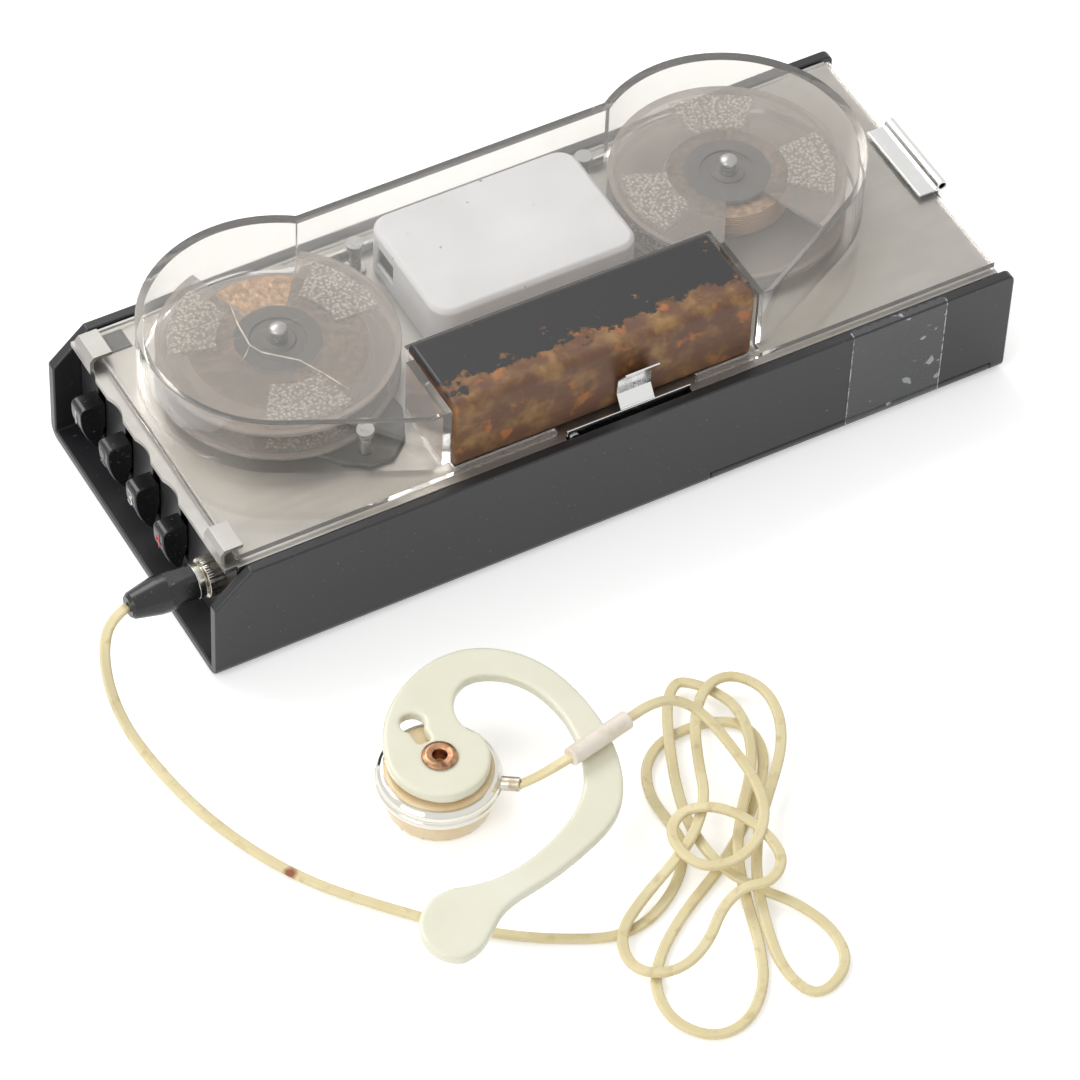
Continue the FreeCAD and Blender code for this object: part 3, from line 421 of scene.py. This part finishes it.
worn_nickel, worn_tree, worn_shader = new_finish("worn_nickel", (0.6, 0.57, 0.5), 0.25, 1.0)
dull = blotches(worn_tree, 500, 0.45, 0.1)
worn_tree.links.new(blend_colour(worn_tree, dull, (0.68, 0.66, 0.6), (0.42, 0.36, 0.26)),
                    worn_shader.inputs["Base Color"])
worn_tree.links.new(blend_value(worn_tree, dull, 0.2, 0.45), worn_shader.inputs["Roughness"])
crimp = dressed("crimp", "recorder", worn_nickel, 0.2)

# Plug: a glossy black moulded grip with flats near its nickel ring.
black_gloss, gloss_tree, gloss_shader = new_finish("black_gloss", (0.012, 0.012, 0.013), 0.18)
lint = blotches(gloss_tree, 1500, 0.29, 0.02, detail=2.0)
gloss_tree.links.new(blend_colour(gloss_tree, lint, (0.012, 0.012, 0.013), (0.1, 0.1, 0.1)),
                     gloss_shader.inputs["Base Color"])
smear = blotches(gloss_tree, 120, 0.5, 0.2)
gloss_tree.links.new(blend_value(gloss_tree, smear, 0.16, 0.34), gloss_shader.inputs["Roughness"])
plug_body = dressed("plug_body", "recorder", black_gloss, 0.25, 3, 25)
plug_ring = dressed("plug_ring", "recorder", worn_nickel, 0.12)


# Case: a black moulded channel, open at both ends, with a hatch in its underside and a
# strip of clear tape folded over its near wall.
black_case, case_tree, case_shader = new_finish("black_case", (0.018, 0.018, 0.02), 0.3)
dust = blotches(case_tree, 1300, 0.27, 0.02, detail=2.0)
bloom = blotches(case_tree, 30, 0.5, 0.25)
case_colour = blend_colour(case_tree, bloom, (0.016, 0.016, 0.018), (0.026, 0.026, 0.028))
case_colour = blend_colour(case_tree, dust, case_colour, (0.14, 0.14, 0.14))
case_tree.links.new(case_colour, case_shader.inputs["Base Color"])
case_tree.links.new(blend_value(case_tree, bloom, 0.26, 0.42), case_shader.inputs["Roughness"])
bumped(case_tree, case_shader, blotches(case_tree, 700, 0.5, 0.3), 0.00002, 0.5)
dressed("case_tray", "recorder", black_case, 0.3)
dressed("bottom_cover", "recorder", black_case, 0.25)
dressed("key_plate", "recorder", black_case, 0.2)

CASE_HALF_WIDTH = 33.75
TAPE_START = 47.8
TAPE_WIDTH = 20.0
FOLD_HEIGHT = 25.48
tape_form = bmesh.new()
steps = 21
tape_rows = [(-CASE_HALF_WIDTH - 0.05, 1.6), (-CASE_HALF_WIDTH - 0.06, 12.0),
             (-CASE_HALF_WIDTH - 0.05, 24.8), (-CASE_HALF_WIDTH + 0.25, 25.5),
             (-CASE_HALF_WIDTH + 1.2, FOLD_HEIGHT)]
tape_grid = []
for y, z in tape_rows:
    row = []
    for k in range(steps):
        x = TAPE_START + TAPE_WIDTH * k / (steps - 1)
        inward = 0.45 * (k % 2) if z == FOLD_HEIGHT else 0.0
        row.append(tape_form.verts.new((x * MM, (y + inward) * MM, z * MM)))
    tape_grid.append(row)
for lower, upper in zip(tape_grid, tape_grid[1:]):
    for k in range(steps - 1):
        tape_form.faces.new((lower[k], lower[k + 1], upper[k + 1], upper[k]))
tape_mesh = bpy.data.meshes.new("side_tape")
tape_form.to_mesh(tape_mesh)
tape_form.free()
tape = bpy.data.objects.new("side_tape", tape_mesh)
bpy.context.collection.objects.link(tape)
clear_tape, tape_tree, tape_shader = new_finish("clear_tape", (0.75, 0.76, 0.78), 0.12)
bubble = blotches(tape_tree, 420, 0.3, 0.015, detail=1.0)
tape_tree.links.new(blend_value(tape_tree, bubble, 0.07, 0.5), tape_shader.inputs["Alpha"])
tape.data.materials.append(clear_tape)
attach(tape, "recorder")
edge_form = bmesh.new()
for x in (TAPE_START, TAPE_START + TAPE_WIDTH):
    for a, b in zip(tape_rows, tape_rows[1:]):
        quad = [(x - 0.12, a), (x + 0.12, a), (x + 0.12, b), (x - 0.12, b)]
        edge_form.faces.new([edge_form.verts.new((u * MM, (p[0] - 0.03) * MM, (p[1] + 0.02) * MM))
                             for u, p in quad])
edge_mesh = bpy.data.meshes.new("tape_edges")
edge_form.to_mesh(edge_mesh)
edge_form.free()
tape_edges = bpy.data.objects.new("tape_edges", edge_mesh)
bpy.context.collection.objects.link(tape_edges)
tape_edge, tape_edge_tree, tape_edge_shader = new_finish("tape_edge", (0.7, 0.7, 0.72), 0.3)
ragged = blotches(tape_edge_tree, 900, 0.55, 0.1)
tape_edge_tree.links.new(blend_value(tape_edge_tree, ragged, 0.15, 0.7),
                         tape_edge_shader.inputs["Alpha"])
tape_edges.data.materials.append(tape_edge)
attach(tape_edges, "recorder")


# Chassis: the nickel-grey deck sheet with its turned-down plain end, and the scalloped
# lip and two corner claws at the key end that hold the lid.
deck_metal, deck_tree, deck_shader = new_finish("deck_metal", (0.4, 0.39, 0.37), 0.36, 1.0)
stain = blotches(deck_tree, 34, 0.44, 0.14)
streak = blotches(deck_tree, 60, 0.5, 0.25, stretch=(1, 7, 1))
deck_colour = blend_colour(deck_tree, stain, (0.5, 0.49, 0.47), (0.33, 0.31, 0.28))
deck_colour = blend_colour(deck_tree, streak, deck_colour, (0.4, 0.385, 0.36))
deck_tree.links.new(deck_colour, deck_shader.inputs["Base Color"])
deck_tree.links.new(blend_value(deck_tree, stain, 0.32, 0.5), deck_shader.inputs["Roughness"])
dressed("deck_plate", "recorder", deck_metal, 0.25)


def plate_strip(name, outline, low, high, finish, body):
    """A flat strip cut to an outline of plan points, with a thickness."""
    form = bmesh.new()
    base = form.faces.new([form.verts.new((x * MM, y * MM, low * MM)) for x, y in outline])
    raised = bmesh.ops.extrude_face_region(form, geom=[base])
    lift = [v for v in raised["geom"] if isinstance(v, bmesh.types.BMVert)]
    bmesh.ops.translate(form, verts=lift, vec=(0, 0, (high - low) * MM))
    bmesh.ops.recalc_face_normals(form, faces=form.faces)
    mesh = bpy.data.meshes.new(name)
    form.to_mesh(mesh)
    form.free()
    strip = bpy.data.objects.new(name, mesh)
    bpy.context.collection.objects.link(strip)
    soften = strip.modifiers.new("edge", "BEVEL")
    soften.width = min(0.3, (high - low) * 0.3) * MM
    soften.segments = 2
    settled(strip)
    strip.data.materials.append(finish)
    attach(strip, body)
    return strip


bright, bright_tree, bright_shader = new_finish("bright_steel", (0.74, 0.74, 0.73), 0.16, 1.0)
rubbed = blotches(bright_tree, 240, 0.45, 0.15, stretch=(3, 1, 1))
bright_tree.links.new(blend_value(bright_tree, rubbed, 0.1, 0.32), bright_shader.inputs["Roughness"])
plate_strip("wire_rail", [(-35, 25.95), (29, 25.95), (29, 26.4), (-35, 26.4)], 25.02, 27.2,
            bright, "recorder")
dark_sheet, dark_tree, dark_shader = new_finish("dark_sheet", (0.05, 0.05, 0.05), 0.4)
dark_tree.links.new(blend_colour(dark_tree, blotches(dark_tree, 300, 0.4, 0.1), (0.045, 0.045, 0.045),
                                 (0.09, 0.085, 0.08)), dark_shader.inputs["Base Color"])
plate_strip("felt_patch", [(-74.4, 24.4), (-69.8, 24.4), (-69.8, 29.0), (-74.4, 29.0)], 25.0, 25.25,
            dark_sheet, "recorder")
arm = [(-52.5, -13.6), (-49.0, -18.0), (-45.0, -20.8), (-40.5, -20.9), (-36.4, -17.6),
       (-33.8, -12.0), (-34.5, -6.5), (-38.5, -5.5), (-41.5, -10.5), (-46.0, -13.6)]
plate_strip("wire_arm", arm, 25.02, 26.1, dark_sheet, "recorder")


# Reels: clear brownish mouldings with three stippled fan patches, wound with fine steel
# wire and seated on steel spindles.
def reel_plastic(name, centre, patch_angles):
    finish, tree, shader = new_finish(name, (0.36, 0.31, 0.27), 0.22)
    link = tree.links.new
    place = tree.nodes.new("ShaderNodeTexCoord")
    shift = tree.nodes.new("ShaderNodeVectorMath")
    shift.operation = "SUBTRACT"
    shift.inputs[1].default_value = (centre[0] * MM, centre[1] * MM, 0)
    link(place.outputs["Object"], shift.inputs[0])
    split = tree.nodes.new("ShaderNodeSeparateXYZ")
    link(shift.outputs[0], split.inputs[0])

    def calc(operation, a, b=None):
        node = tree.nodes.new("ShaderNodeMath")
        node.operation = operation
        for socket, value in zip(node.inputs, (a, b)):
            if value is None:
                continue
            if isinstance(value, (int, float)):
                socket.default_value = value
            else:
                link(value, socket)
        return node.outputs[0]

    x = split.outputs[0]
    y = split.outputs[1]
    radius = calc("SQRT", calc("ADD", calc("MULTIPLY", x, x), calc("MULTIPLY", y, y)))
    angle = calc("ARCTAN2", y, x)
    ring = calc("MULTIPLY", calc("GREATER_THAN", radius, 11.2 * MM),
                calc("LESS_THAN", radius, 20.0 * MM))
    patches = None
    for degrees in patch_angles:
        a = math.radians(degrees)
        near = calc("COSINE", calc("SUBTRACT", angle, a))
        sector = calc("GREATER_THAN", near, math.cos(math.radians(24)))
        patches = sector if patches is None else calc("MAXIMUM", patches, sector)
    patch = calc("MULTIPLY", patches, ring)
    hub = calc("LESS_THAN", radius, 8.0 * MM)
    rim = calc("GREATER_THAN", radius, 21.2 * MM)
    stipple = tree.nodes.new("ShaderNodeTexVoronoi")
    stipple.inputs["Scale"].default_value = 1500
    link(place.outputs["Object"], stipple.inputs["Vector"])
    grain = tree.nodes.new("ShaderNodeMapRange")
    grain.inputs["From Min"].default_value = 0.1
    grain.inputs["From Max"].default_value = 0.6
    link(stipple.outputs["Distance"], grain.inputs["Value"])
    dots = calc("MULTIPLY", patch, grain.outputs["Result"])
    haze = blotches(tree, 110, 0.5, 0.2)
    colour = blend_colour(tree, haze, (0.33, 0.29, 0.26), (0.27, 0.235, 0.21))
    colour = blend_colour(tree, patch, colour, (0.6, 0.56, 0.5))
    colour = blend_colour(tree, dots, colour, (0.24, 0.21, 0.18))
    colour = blend_colour(tree, hub, colour, (0.1, 0.095, 0.09))
    link(colour, shader.inputs["Base Color"])
    opaque = calc("ADD", calc("MULTIPLY", patch, 0.26), calc("MULTIPLY", hub, 0.45))
    opaque = calc("ADD", opaque, calc("MULTIPLY", rim, 0.25))
    link(calc("ADD", opaque, 0.44), shader.inputs["Alpha"])
    bumped(tree, shader, dots, 0.0001, 0.8)
    return finish


left_reel = reel_plastic("reel_plastic_left", (-49.2, 6.8), (140, 20, -100))
right_reel = reel_plastic("reel_plastic_right", (44.1, 6.8), (180, 70, -20))
dressed("spool_left", "reel_left", left_reel, 0.15)
dressed("spool_right", "reel_right", right_reel, 0.15)

wound_wire, wound_tree, wound_shader = new_finish("wound_wire", (0.5, 0.33, 0.2), 0.35, 1.0)
lines = wound_tree.nodes.new("ShaderNodeTexWave")
lines.bands_direction = "Z"
lines.inputs["Scale"].default_value = 900
lines.inputs["Distortion"].default_value = 1.5
wound_place = wound_tree.nodes.new("ShaderNodeTexCoord")
wound_tree.links.new(wound_place.outputs["Object"], lines.inputs["Vector"])
wound_colour = blend_colour(wound_tree, lines.outputs["Fac"], (0.62, 0.42, 0.27),
                            (0.2, 0.13, 0.08))
wound_tree.links.new(wound_colour, wound_shader.inputs["Base Color"])
bumped(wound_tree, wound_shader, lines.outputs["Fac"], 0.0001)
turned_steel, turned_tree, turned_shader = new_finish("turned_steel", (0.42, 0.42, 0.43), 0.28, 1.0)
turning = blotches(turned_tree, 600, 0.5, 0.3, stretch=(0.2, 0.2, 5))
turned_tree.links.new(blend_value(turned_tree, turning, 0.2, 0.42), turned_shader.inputs["Roughness"])
for side in ("left", "right"):
    dressed("wire_" + side, "reel_" + side, wound_wire, 0.1)
    dressed("spindle_" + side, "reel_" + side, turned_steel, 0.4, 3, 20)
    dressed("pulley_" + side, "reel_" + side, turned_steel, 0.1)
    dressed("bearing_" + side, "recorder", turned_steel, 0.1)


# Mechanism under the deck and the lid: posts, head, motor, belt, board and key shaft.
for name in ("head_guide", "post_left", "post_right", "post_near", "motor", "key_shaft",
             "shaft_stand_near", "shaft_stand_far"):
    dressed(name, "recorder", turned_steel, 0.12)
dressed("head_block", "head", turned_steel, 0.15)
dressed("motor_pulley", "motor_rotor", turned_steel, 0.1)
band, band_tree, band_shader = new_finish("belt_rubber", (0.03, 0.03, 0.03), 0.75)
band_tree.links.new(blend_colour(band_tree, blotches(band_tree, 500, 0.4, 0.2), (0.03, 0.03, 0.03),
                                 (0.06, 0.055, 0.05)), band_shader.inputs["Base Color"])
dressed("belt_motor", "recorder", band, 0.1)
laminate, laminate_tree, laminate_shader = new_finish("laminate", (0.3, 0.17, 0.06), 0.5)
laminate_tree.links.new(blend_colour(laminate_tree, blotches(laminate_tree, 200, 0.5, 0.2),
                                     (0.3, 0.17, 0.06), (0.2, 0.11, 0.04)),
                        laminate_shader.inputs["Base Color"])
dressed("circuit_board", "recorder", laminate, 0.1)
lacquer, lacquer_tree, lacquer_shader = new_finish("part_lacquer", (0.15, 0.1, 0.05), 0.35)
lacquer_tree.links.new(blend_colour(lacquer_tree, blotches(lacquer_tree, 90, 0.5, 0.05),
                                    (0.22, 0.13, 0.05), (0.05, 0.07, 0.1)),
                       lacquer_shader.inputs["Base Color"])
dressed("board_parts", "recorder", lacquer, 0.2)
dressed("jack", "recorder", worn_nickel, 0.1)


# Cover over the head: pressed sheet with soft corners in a pale grey paint, patchy in
# tone, with a few specks of dirt on top.
grey_paint, grey_tree, grey_shader = new_finish("grey_paint", (0.6, 0.62, 0.65), 0.45)
chalk = blotches(grey_tree, 55, 0.5, 0.25)
specks = blotches(grey_tree, 480, 0.24, 0.015, detail=1.0)
grey_colour = blend_colour(grey_tree, chalk, (0.64, 0.655, 0.69), (0.52, 0.53, 0.56))
grey_colour = blend_colour(grey_tree, specks, grey_colour, (0.12, 0.12, 0.12))
grey_tree.links.new(grey_colour, grey_shader.inputs["Base Color"])
bumped(grey_tree, grey_shader, chalk, 0.0002, 0.4)
dressed("mech_cover", "recorder", grey_paint, 0.7, 4, 20)


# Battery: a painted steel tin with rolled long edges, its black paint worn through to
# brown and orange rust, most of all along the near side.
rusty, rust_tree, rust_shader = new_finish("rusty_tin", (0.2, 0.1, 0.04), 0.55)
link = rust_tree.links.new
rust_fine = blotches(rust_tree, 330, 0.5, 0.12, detail=6.0)
rust_patch = blotches(rust_tree, 150, 0.5, 0.1, detail=5.0, shift=(0.3, 0, 0))
orange = blotches(rust_tree, 210, 0.37, 0.04, detail=5.0, shift=(0, 0.7, 0))
rust_colour = blend_colour(rust_tree, rust_fine, (0.15, 0.07, 0.028), (0.3, 0.17, 0.065))
rust_colour = blend_colour(rust_tree, rust_patch, rust_colour, (0.13, 0.06, 0.035))
rust_colour = blend_colour(rust_tree, orange, rust_colour, (0.38, 0.14, 0.045))
tin_place = rust_tree.nodes.new("ShaderNodeTexCoord")
tin_split = rust_tree.nodes.new("ShaderNodeSeparateXYZ")
link(tin_place.outputs["Object"], tin_split.inputs[0])
inner = rust_tree.nodes.new("ShaderNodeMapRange")
inner.inputs["From Min"].default_value = -0.0275
inner.inputs["From Max"].default_value = -0.019
link(tin_split.outputs[1], inner.inputs["Value"])
high = rust_tree.nodes.new("ShaderNodeMapRange")
high.inputs["From Min"].default_value = 0.0385
high.inputs["From Max"].default_value = 0.0405
link(tin_split.outputs[2], high.inputs["Value"])
top_area = rust_tree.nodes.new("ShaderNodeMath")
top_area.operation = "MULTIPLY"
link(inner.outputs[0], top_area.inputs[0])
link(high.outputs[0], top_area.inputs[1])
paint_noise = rust_tree.nodes.new("ShaderNodeTexNoise")
paint_noise.inputs["Scale"].default_value = 170
paint_noise.inputs["Detail"].default_value = 9
paint_noise.inputs["Roughness"].default_value = 0.65
link(tin_place.outputs["Object"], paint_noise.inputs["Vector"])
paint_sum = rust_tree.nodes.new("ShaderNodeMath")
paint_sum.operation = "MULTIPLY_ADD"
paint_sum.inputs[1].default_value = 0.34
link(top_area.outputs[0], paint_sum.inputs[0])
link(paint_noise.outputs["Fac"], paint_sum.inputs[2])
paint_mask = rust_tree.nodes.new("ShaderNodeMapRange")
paint_mask.inputs["From Min"].default_value = 0.66
paint_mask.inputs["From Max"].default_value = 0.7
link(paint_sum.outputs[0], paint_mask.inputs["Value"])
rust_colour = blend_colour(rust_tree, paint_mask.outputs[0], rust_colour, (0.024, 0.022, 0.022))
link(rust_colour, rust_shader.inputs["Base Color"])
link(blend_value(rust_tree, paint_mask.outputs[0], 0.5, 0.34), rust_shader.inputs["Roughness"])
bumped(rust_tree, rust_shader, paint_mask.outputs[0], 0.00012, 0.8)
dressed("battery_tin", "battery", rusty, 0.5, 3)


# Battery clip: a polished spring blade riveted in the channel, and the finger that
# springs outward to free the battery.
dressed("clip_blade", "recorder", bright, 0.1)
dressed("clip_rivet", "recorder", turned_steel, 0.15)
dressed("battery_clip", "clip", bright, 0.12, 2, 40)


# Lid: one clear moulding, slightly browned, made by uniting its four solids so that its
# walls are one unbroken skin. Cracks and scratches lie as thin strips over the key-end reel.
LID_TOP = 39.63
lid_nodes = ("lid_flange", "lid_top", "lid_wall_left", "lid_wall_right")


def whole_lid():
    """Unites the four nodes of the lid into one skin."""
    parts = []
    for node in lid_nodes:
        part = bpy.data.objects.new(node + "_part", nodes[node].data.copy())
        bpy.context.collection.objects.link(part)
        form = bmesh.new()
        form.from_mesh(part.data)
        bmesh.ops.remove_doubles(form, verts=form.verts, dist=1e-6)
        form.to_mesh(part.data)
        form.free()
        parts.append(part)
    first = parts[0]
    for other in parts[1:]:
        unite = first.modifiers.new("unite", "BOOLEAN")
        unite.operation = "UNION"
        unite.solver = "EXACT"
        unite.object = other
    depsgraph = bpy.context.evaluated_depsgraph_get()
    mesh = bpy.data.meshes.new_from_object(first.evaluated_get(depsgraph))
    for part in parts:
        bpy.data.objects.remove(part)
    return mesh


lid = bpy.data.objects.new("lid_clear", whole_lid())
bpy.context.collection.objects.link(lid)
lid_form = bmesh.new()
lid_form.from_mesh(lid.data)
bmesh.ops.remove_doubles(lid_form, verts=lid_form.verts, dist=2e-6)
for face in lid_form.faces:
    face.smooth = True
lid_form.to_mesh(lid.data)
lid_form.free()
for layer in [a for a in lid.data.attributes if a.name == "custom_normal"]:
    lid.data.attributes.remove(layer)
lid.data.set_sharp_from_angle(angle=math.radians(28))
clear_lid, lid_tree, lid_shader = new_finish("clear_lid", (0.93, 0.915, 0.89), 0.04)
lid_shader.inputs["Transmission Weight"].default_value = 0.95
lid_shader.inputs["IOR"].default_value = 1.47
mist = blotches(lid_tree, 70, 0.42, 0.2)
lid_tree.links.new(blend_value(lid_tree, mist, 0.02, 0.09), lid_shader.inputs["Roughness"])
through = lid_tree.nodes.new("ShaderNodeBsdfTransparent")
through.inputs["Color"].default_value = (0.93, 0.92, 0.9, 1)
path = lid_tree.nodes.new("ShaderNodeLightPath")
either = lid_tree.nodes.new("ShaderNodeMixShader")
lid_tree.links.new(path.outputs["Is Shadow Ray"], either.inputs[0])
lid_tree.links.new(lid_shader.outputs[0], either.inputs[1])
lid_tree.links.new(through.outputs[0], either.inputs[2])
lid_tree.links.new(either.outputs[0], lid_tree.nodes["Material Output"].inputs["Surface"])
lid.data.materials.clear()
lid.data.materials.append(clear_lid)
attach(lid, "lid")
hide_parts(*lid_nodes)
dressed("lid_latch", "lid", bright, 0.15)

crack_lines = [
    [(-55.2, 14.6), (-56.4, 8.3), (-56.8, 3.0), (-55.7, 0.5), (-50.6, -4.3), (-48.2, -9.3),
     (-46.0, -14.8)],
    [(-56.8, 3.0), (-58.8, 1.0), (-60.2, 0.1)],
    [(-62.8, 11.1), (-40.0, 10.7)],
    [(-61.0, 5.7), (-36.5, 4.2)],
    [(-41.4, 2.8), (-36.8, 3.2)],
]
crack_widths = (0.16, 0.1, 0.06, 0.06, 0.05)
crack_form = bmesh.new()
for line, width in zip(crack_lines, crack_widths):
    last = None
    for i, (x, y) in enumerate(line):
        a = line[max(i - 1, 0)]
        b = line[min(i + 1, len(line) - 1)]
        run = Vector((b[0] - a[0], b[1] - a[1], 0)).normalized()
        off = Vector((-run.y, run.x, 0)) * width
        taper = 0.3 if i in (0, len(line) - 1) else 1.0
        pair = [crack_form.verts.new((Vector((x, y, LID_TOP)) + off * s * taper) * MM)
                for s in (1, -1)]
        if last:
            crack_form.faces.new((last[0], last[1], pair[1], pair[0]))
        last = pair
bmesh.ops.recalc_face_normals(crack_form, faces=crack_form.faces)
crack_mesh = bpy.data.meshes.new("lid_cracks")
crack_form.to_mesh(crack_mesh)
crack_form.free()
cracks = bpy.data.objects.new("lid_cracks", crack_mesh)
bpy.context.collection.objects.link(cracks)
crack_white, crack_tree, crack_shader = new_finish("crack_white", (0.75, 0.68, 0.56), 0.4)
broken = blotches(crack_tree, 500, 0.6, 0.2)
crack_tree.links.new(blend_value(crack_tree, broken, 0.25, 0.8), crack_shader.inputs["Alpha"])
cracks.data.materials.append(crack_white)
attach(cracks, "lid")


# Keys: four glossy black levers whose tall caps stand outside the end plate. Plain
# numerals fill the tops of their end faces: white on the first and third, dark on the
# second and red on the last.
for index in range(4):
    name = "key_%d" % (index + 1)
    dressed(name, name, black_gloss, 0.35, 3)
key_white, key_white_tree, key_white_shader = new_finish("numeral_white", (0.66, 0.65, 0.6), 0.5)
key_white_tree.links.new(blend_colour(key_white_tree, blotches(key_white_tree, 900, 0.45, 0.1),
                                      (0.68, 0.66, 0.6), (0.3, 0.29, 0.27)),
                         key_white_shader.inputs["Base Color"])
key_red, key_red_tree, key_red_shader = new_finish("numeral_red", (0.45, 0.05, 0.04), 0.5)
key_red_tree.links.new(blend_colour(key_red_tree, blotches(key_red_tree, 900, 0.45, 0.1),
                                    (0.5, 0.06, 0.05), (0.2, 0.03, 0.03)),
                       key_red_shader.inputs["Base Color"])
for index, ink in ((0, key_white), (1, dark_sheet), (2, key_white), (3, key_red)):
    text = bpy.data.curves.new("numeral", "FONT")
    text.body = str(index + 1)
    text.size = 5.0 * MM
    text.extrude = 0.04 * MM
    text.align_x = "CENTER"
    holder = bpy.data.objects.new("numeral", text)
    bpy.context.collection.objects.link(holder)
    numeral_mesh = bpy.data.meshes.new_from_object(holder)
    bpy.data.objects.remove(holder)
    low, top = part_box("key_%d" % (index + 1))
    centre_y = (low[1] + top[1]) / 2
    stand = Matrix(((0, 0, -1, low[0] - 0.00003), (-1, 0, 0, centre_y),
                    (0, 1, 0, 0.0128), (0, 0, 0, 1)))
    numeral_mesh.transform(stand)
    numeral = bpy.data.objects.new("key_numeral_%d" % (index + 1), numeral_mesh)
    bpy.context.collection.objects.link(numeral)
    numeral.data.materials.append(ink)
    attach(numeral, "key_%d" % (index + 1))
dressed("jack_nut", "recorder", worn_nickel, 0.08)


# Earphone: a cream moulded cup and cap in a polished nickel ring, with a copper eyelet
# that the milky ear hook swings on.
cream, cream_tree, cream_shader = new_finish("cream", (0.78, 0.62, 0.38), 0.3)
cream_tree.links.new(blend_colour(cream_tree, blotches(cream_tree, 150, 0.45, 0.2), (0.82, 0.68, 0.45),
                                  (0.72, 0.52, 0.28)), cream_shader.inputs["Base Color"])
cream_shader.inputs["Subsurface Weight"].default_value = 0.15
cream_shader.inputs["Subsurface Radius"].default_value = (0.003, 0.002, 0.001)
dressed("earphone_body", "recorder", cream, 0.5, 3)
dressed("earphone_cap", "recorder", cream, 0.2)
polished, polished_tree, polished_shader = new_finish("polished_nickel", (0.72, 0.7, 0.64), 0.14, 1.0)
handled = blotches(polished_tree, 300, 0.45, 0.15)
polished_tree.links.new(blend_value(polished_tree, handled, 0.08, 0.26),
                        polished_shader.inputs["Roughness"])
dressed("earphone_ring", "recorder", polished, 0.15, 2, 20)
copper, copper_tree, copper_shader = new_finish("copper", (0.42, 0.22, 0.12), 0.35, 1.0)
tarnish = blotches(copper_tree, 700, 0.45, 0.1)
copper_tree.links.new(blend_colour(copper_tree, tarnish, (0.5, 0.28, 0.16), (0.2, 0.1, 0.06)),
                      copper_shader.inputs["Base Color"])
dressed("eyelet", "recorder", copper, 0.15)

ivory, ivory_tree, ivory_shader = new_finish("ivory", (0.8, 0.79, 0.66), 0.25)
ivory_tree.links.new(blend_colour(ivory_tree, blotches(ivory_tree, 60, 0.5, 0.25), (0.83, 0.82, 0.7),
                                  (0.76, 0.745, 0.58)), ivory_shader.inputs["Base Color"])
ivory_shader.inputs["Subsurface Weight"].default_value = 0.4
ivory_shader.inputs["Subsurface Radius"].default_value = (0.004, 0.004, 0.003)
hook_skin = closed_copy("ear_hook", "ear_hook_skin", 0)
hook_voxels = hook_skin.modifiers.new("even", "REMESH")
hook_voxels.mode = "VOXEL"
hook_voxels.voxel_size = 0.3 * MM
hook_voxels.use_smooth_shade = True
hook_round = hook_skin.modifiers.new("round", "SMOOTH")
hook_round.factor = 0.5
hook_round.iterations = 9
settled(hook_skin)
hook_skin.data.materials.clear()
hook_skin.data.materials.append(ivory)
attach(hook_skin, "hook")
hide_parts("ear_hook")
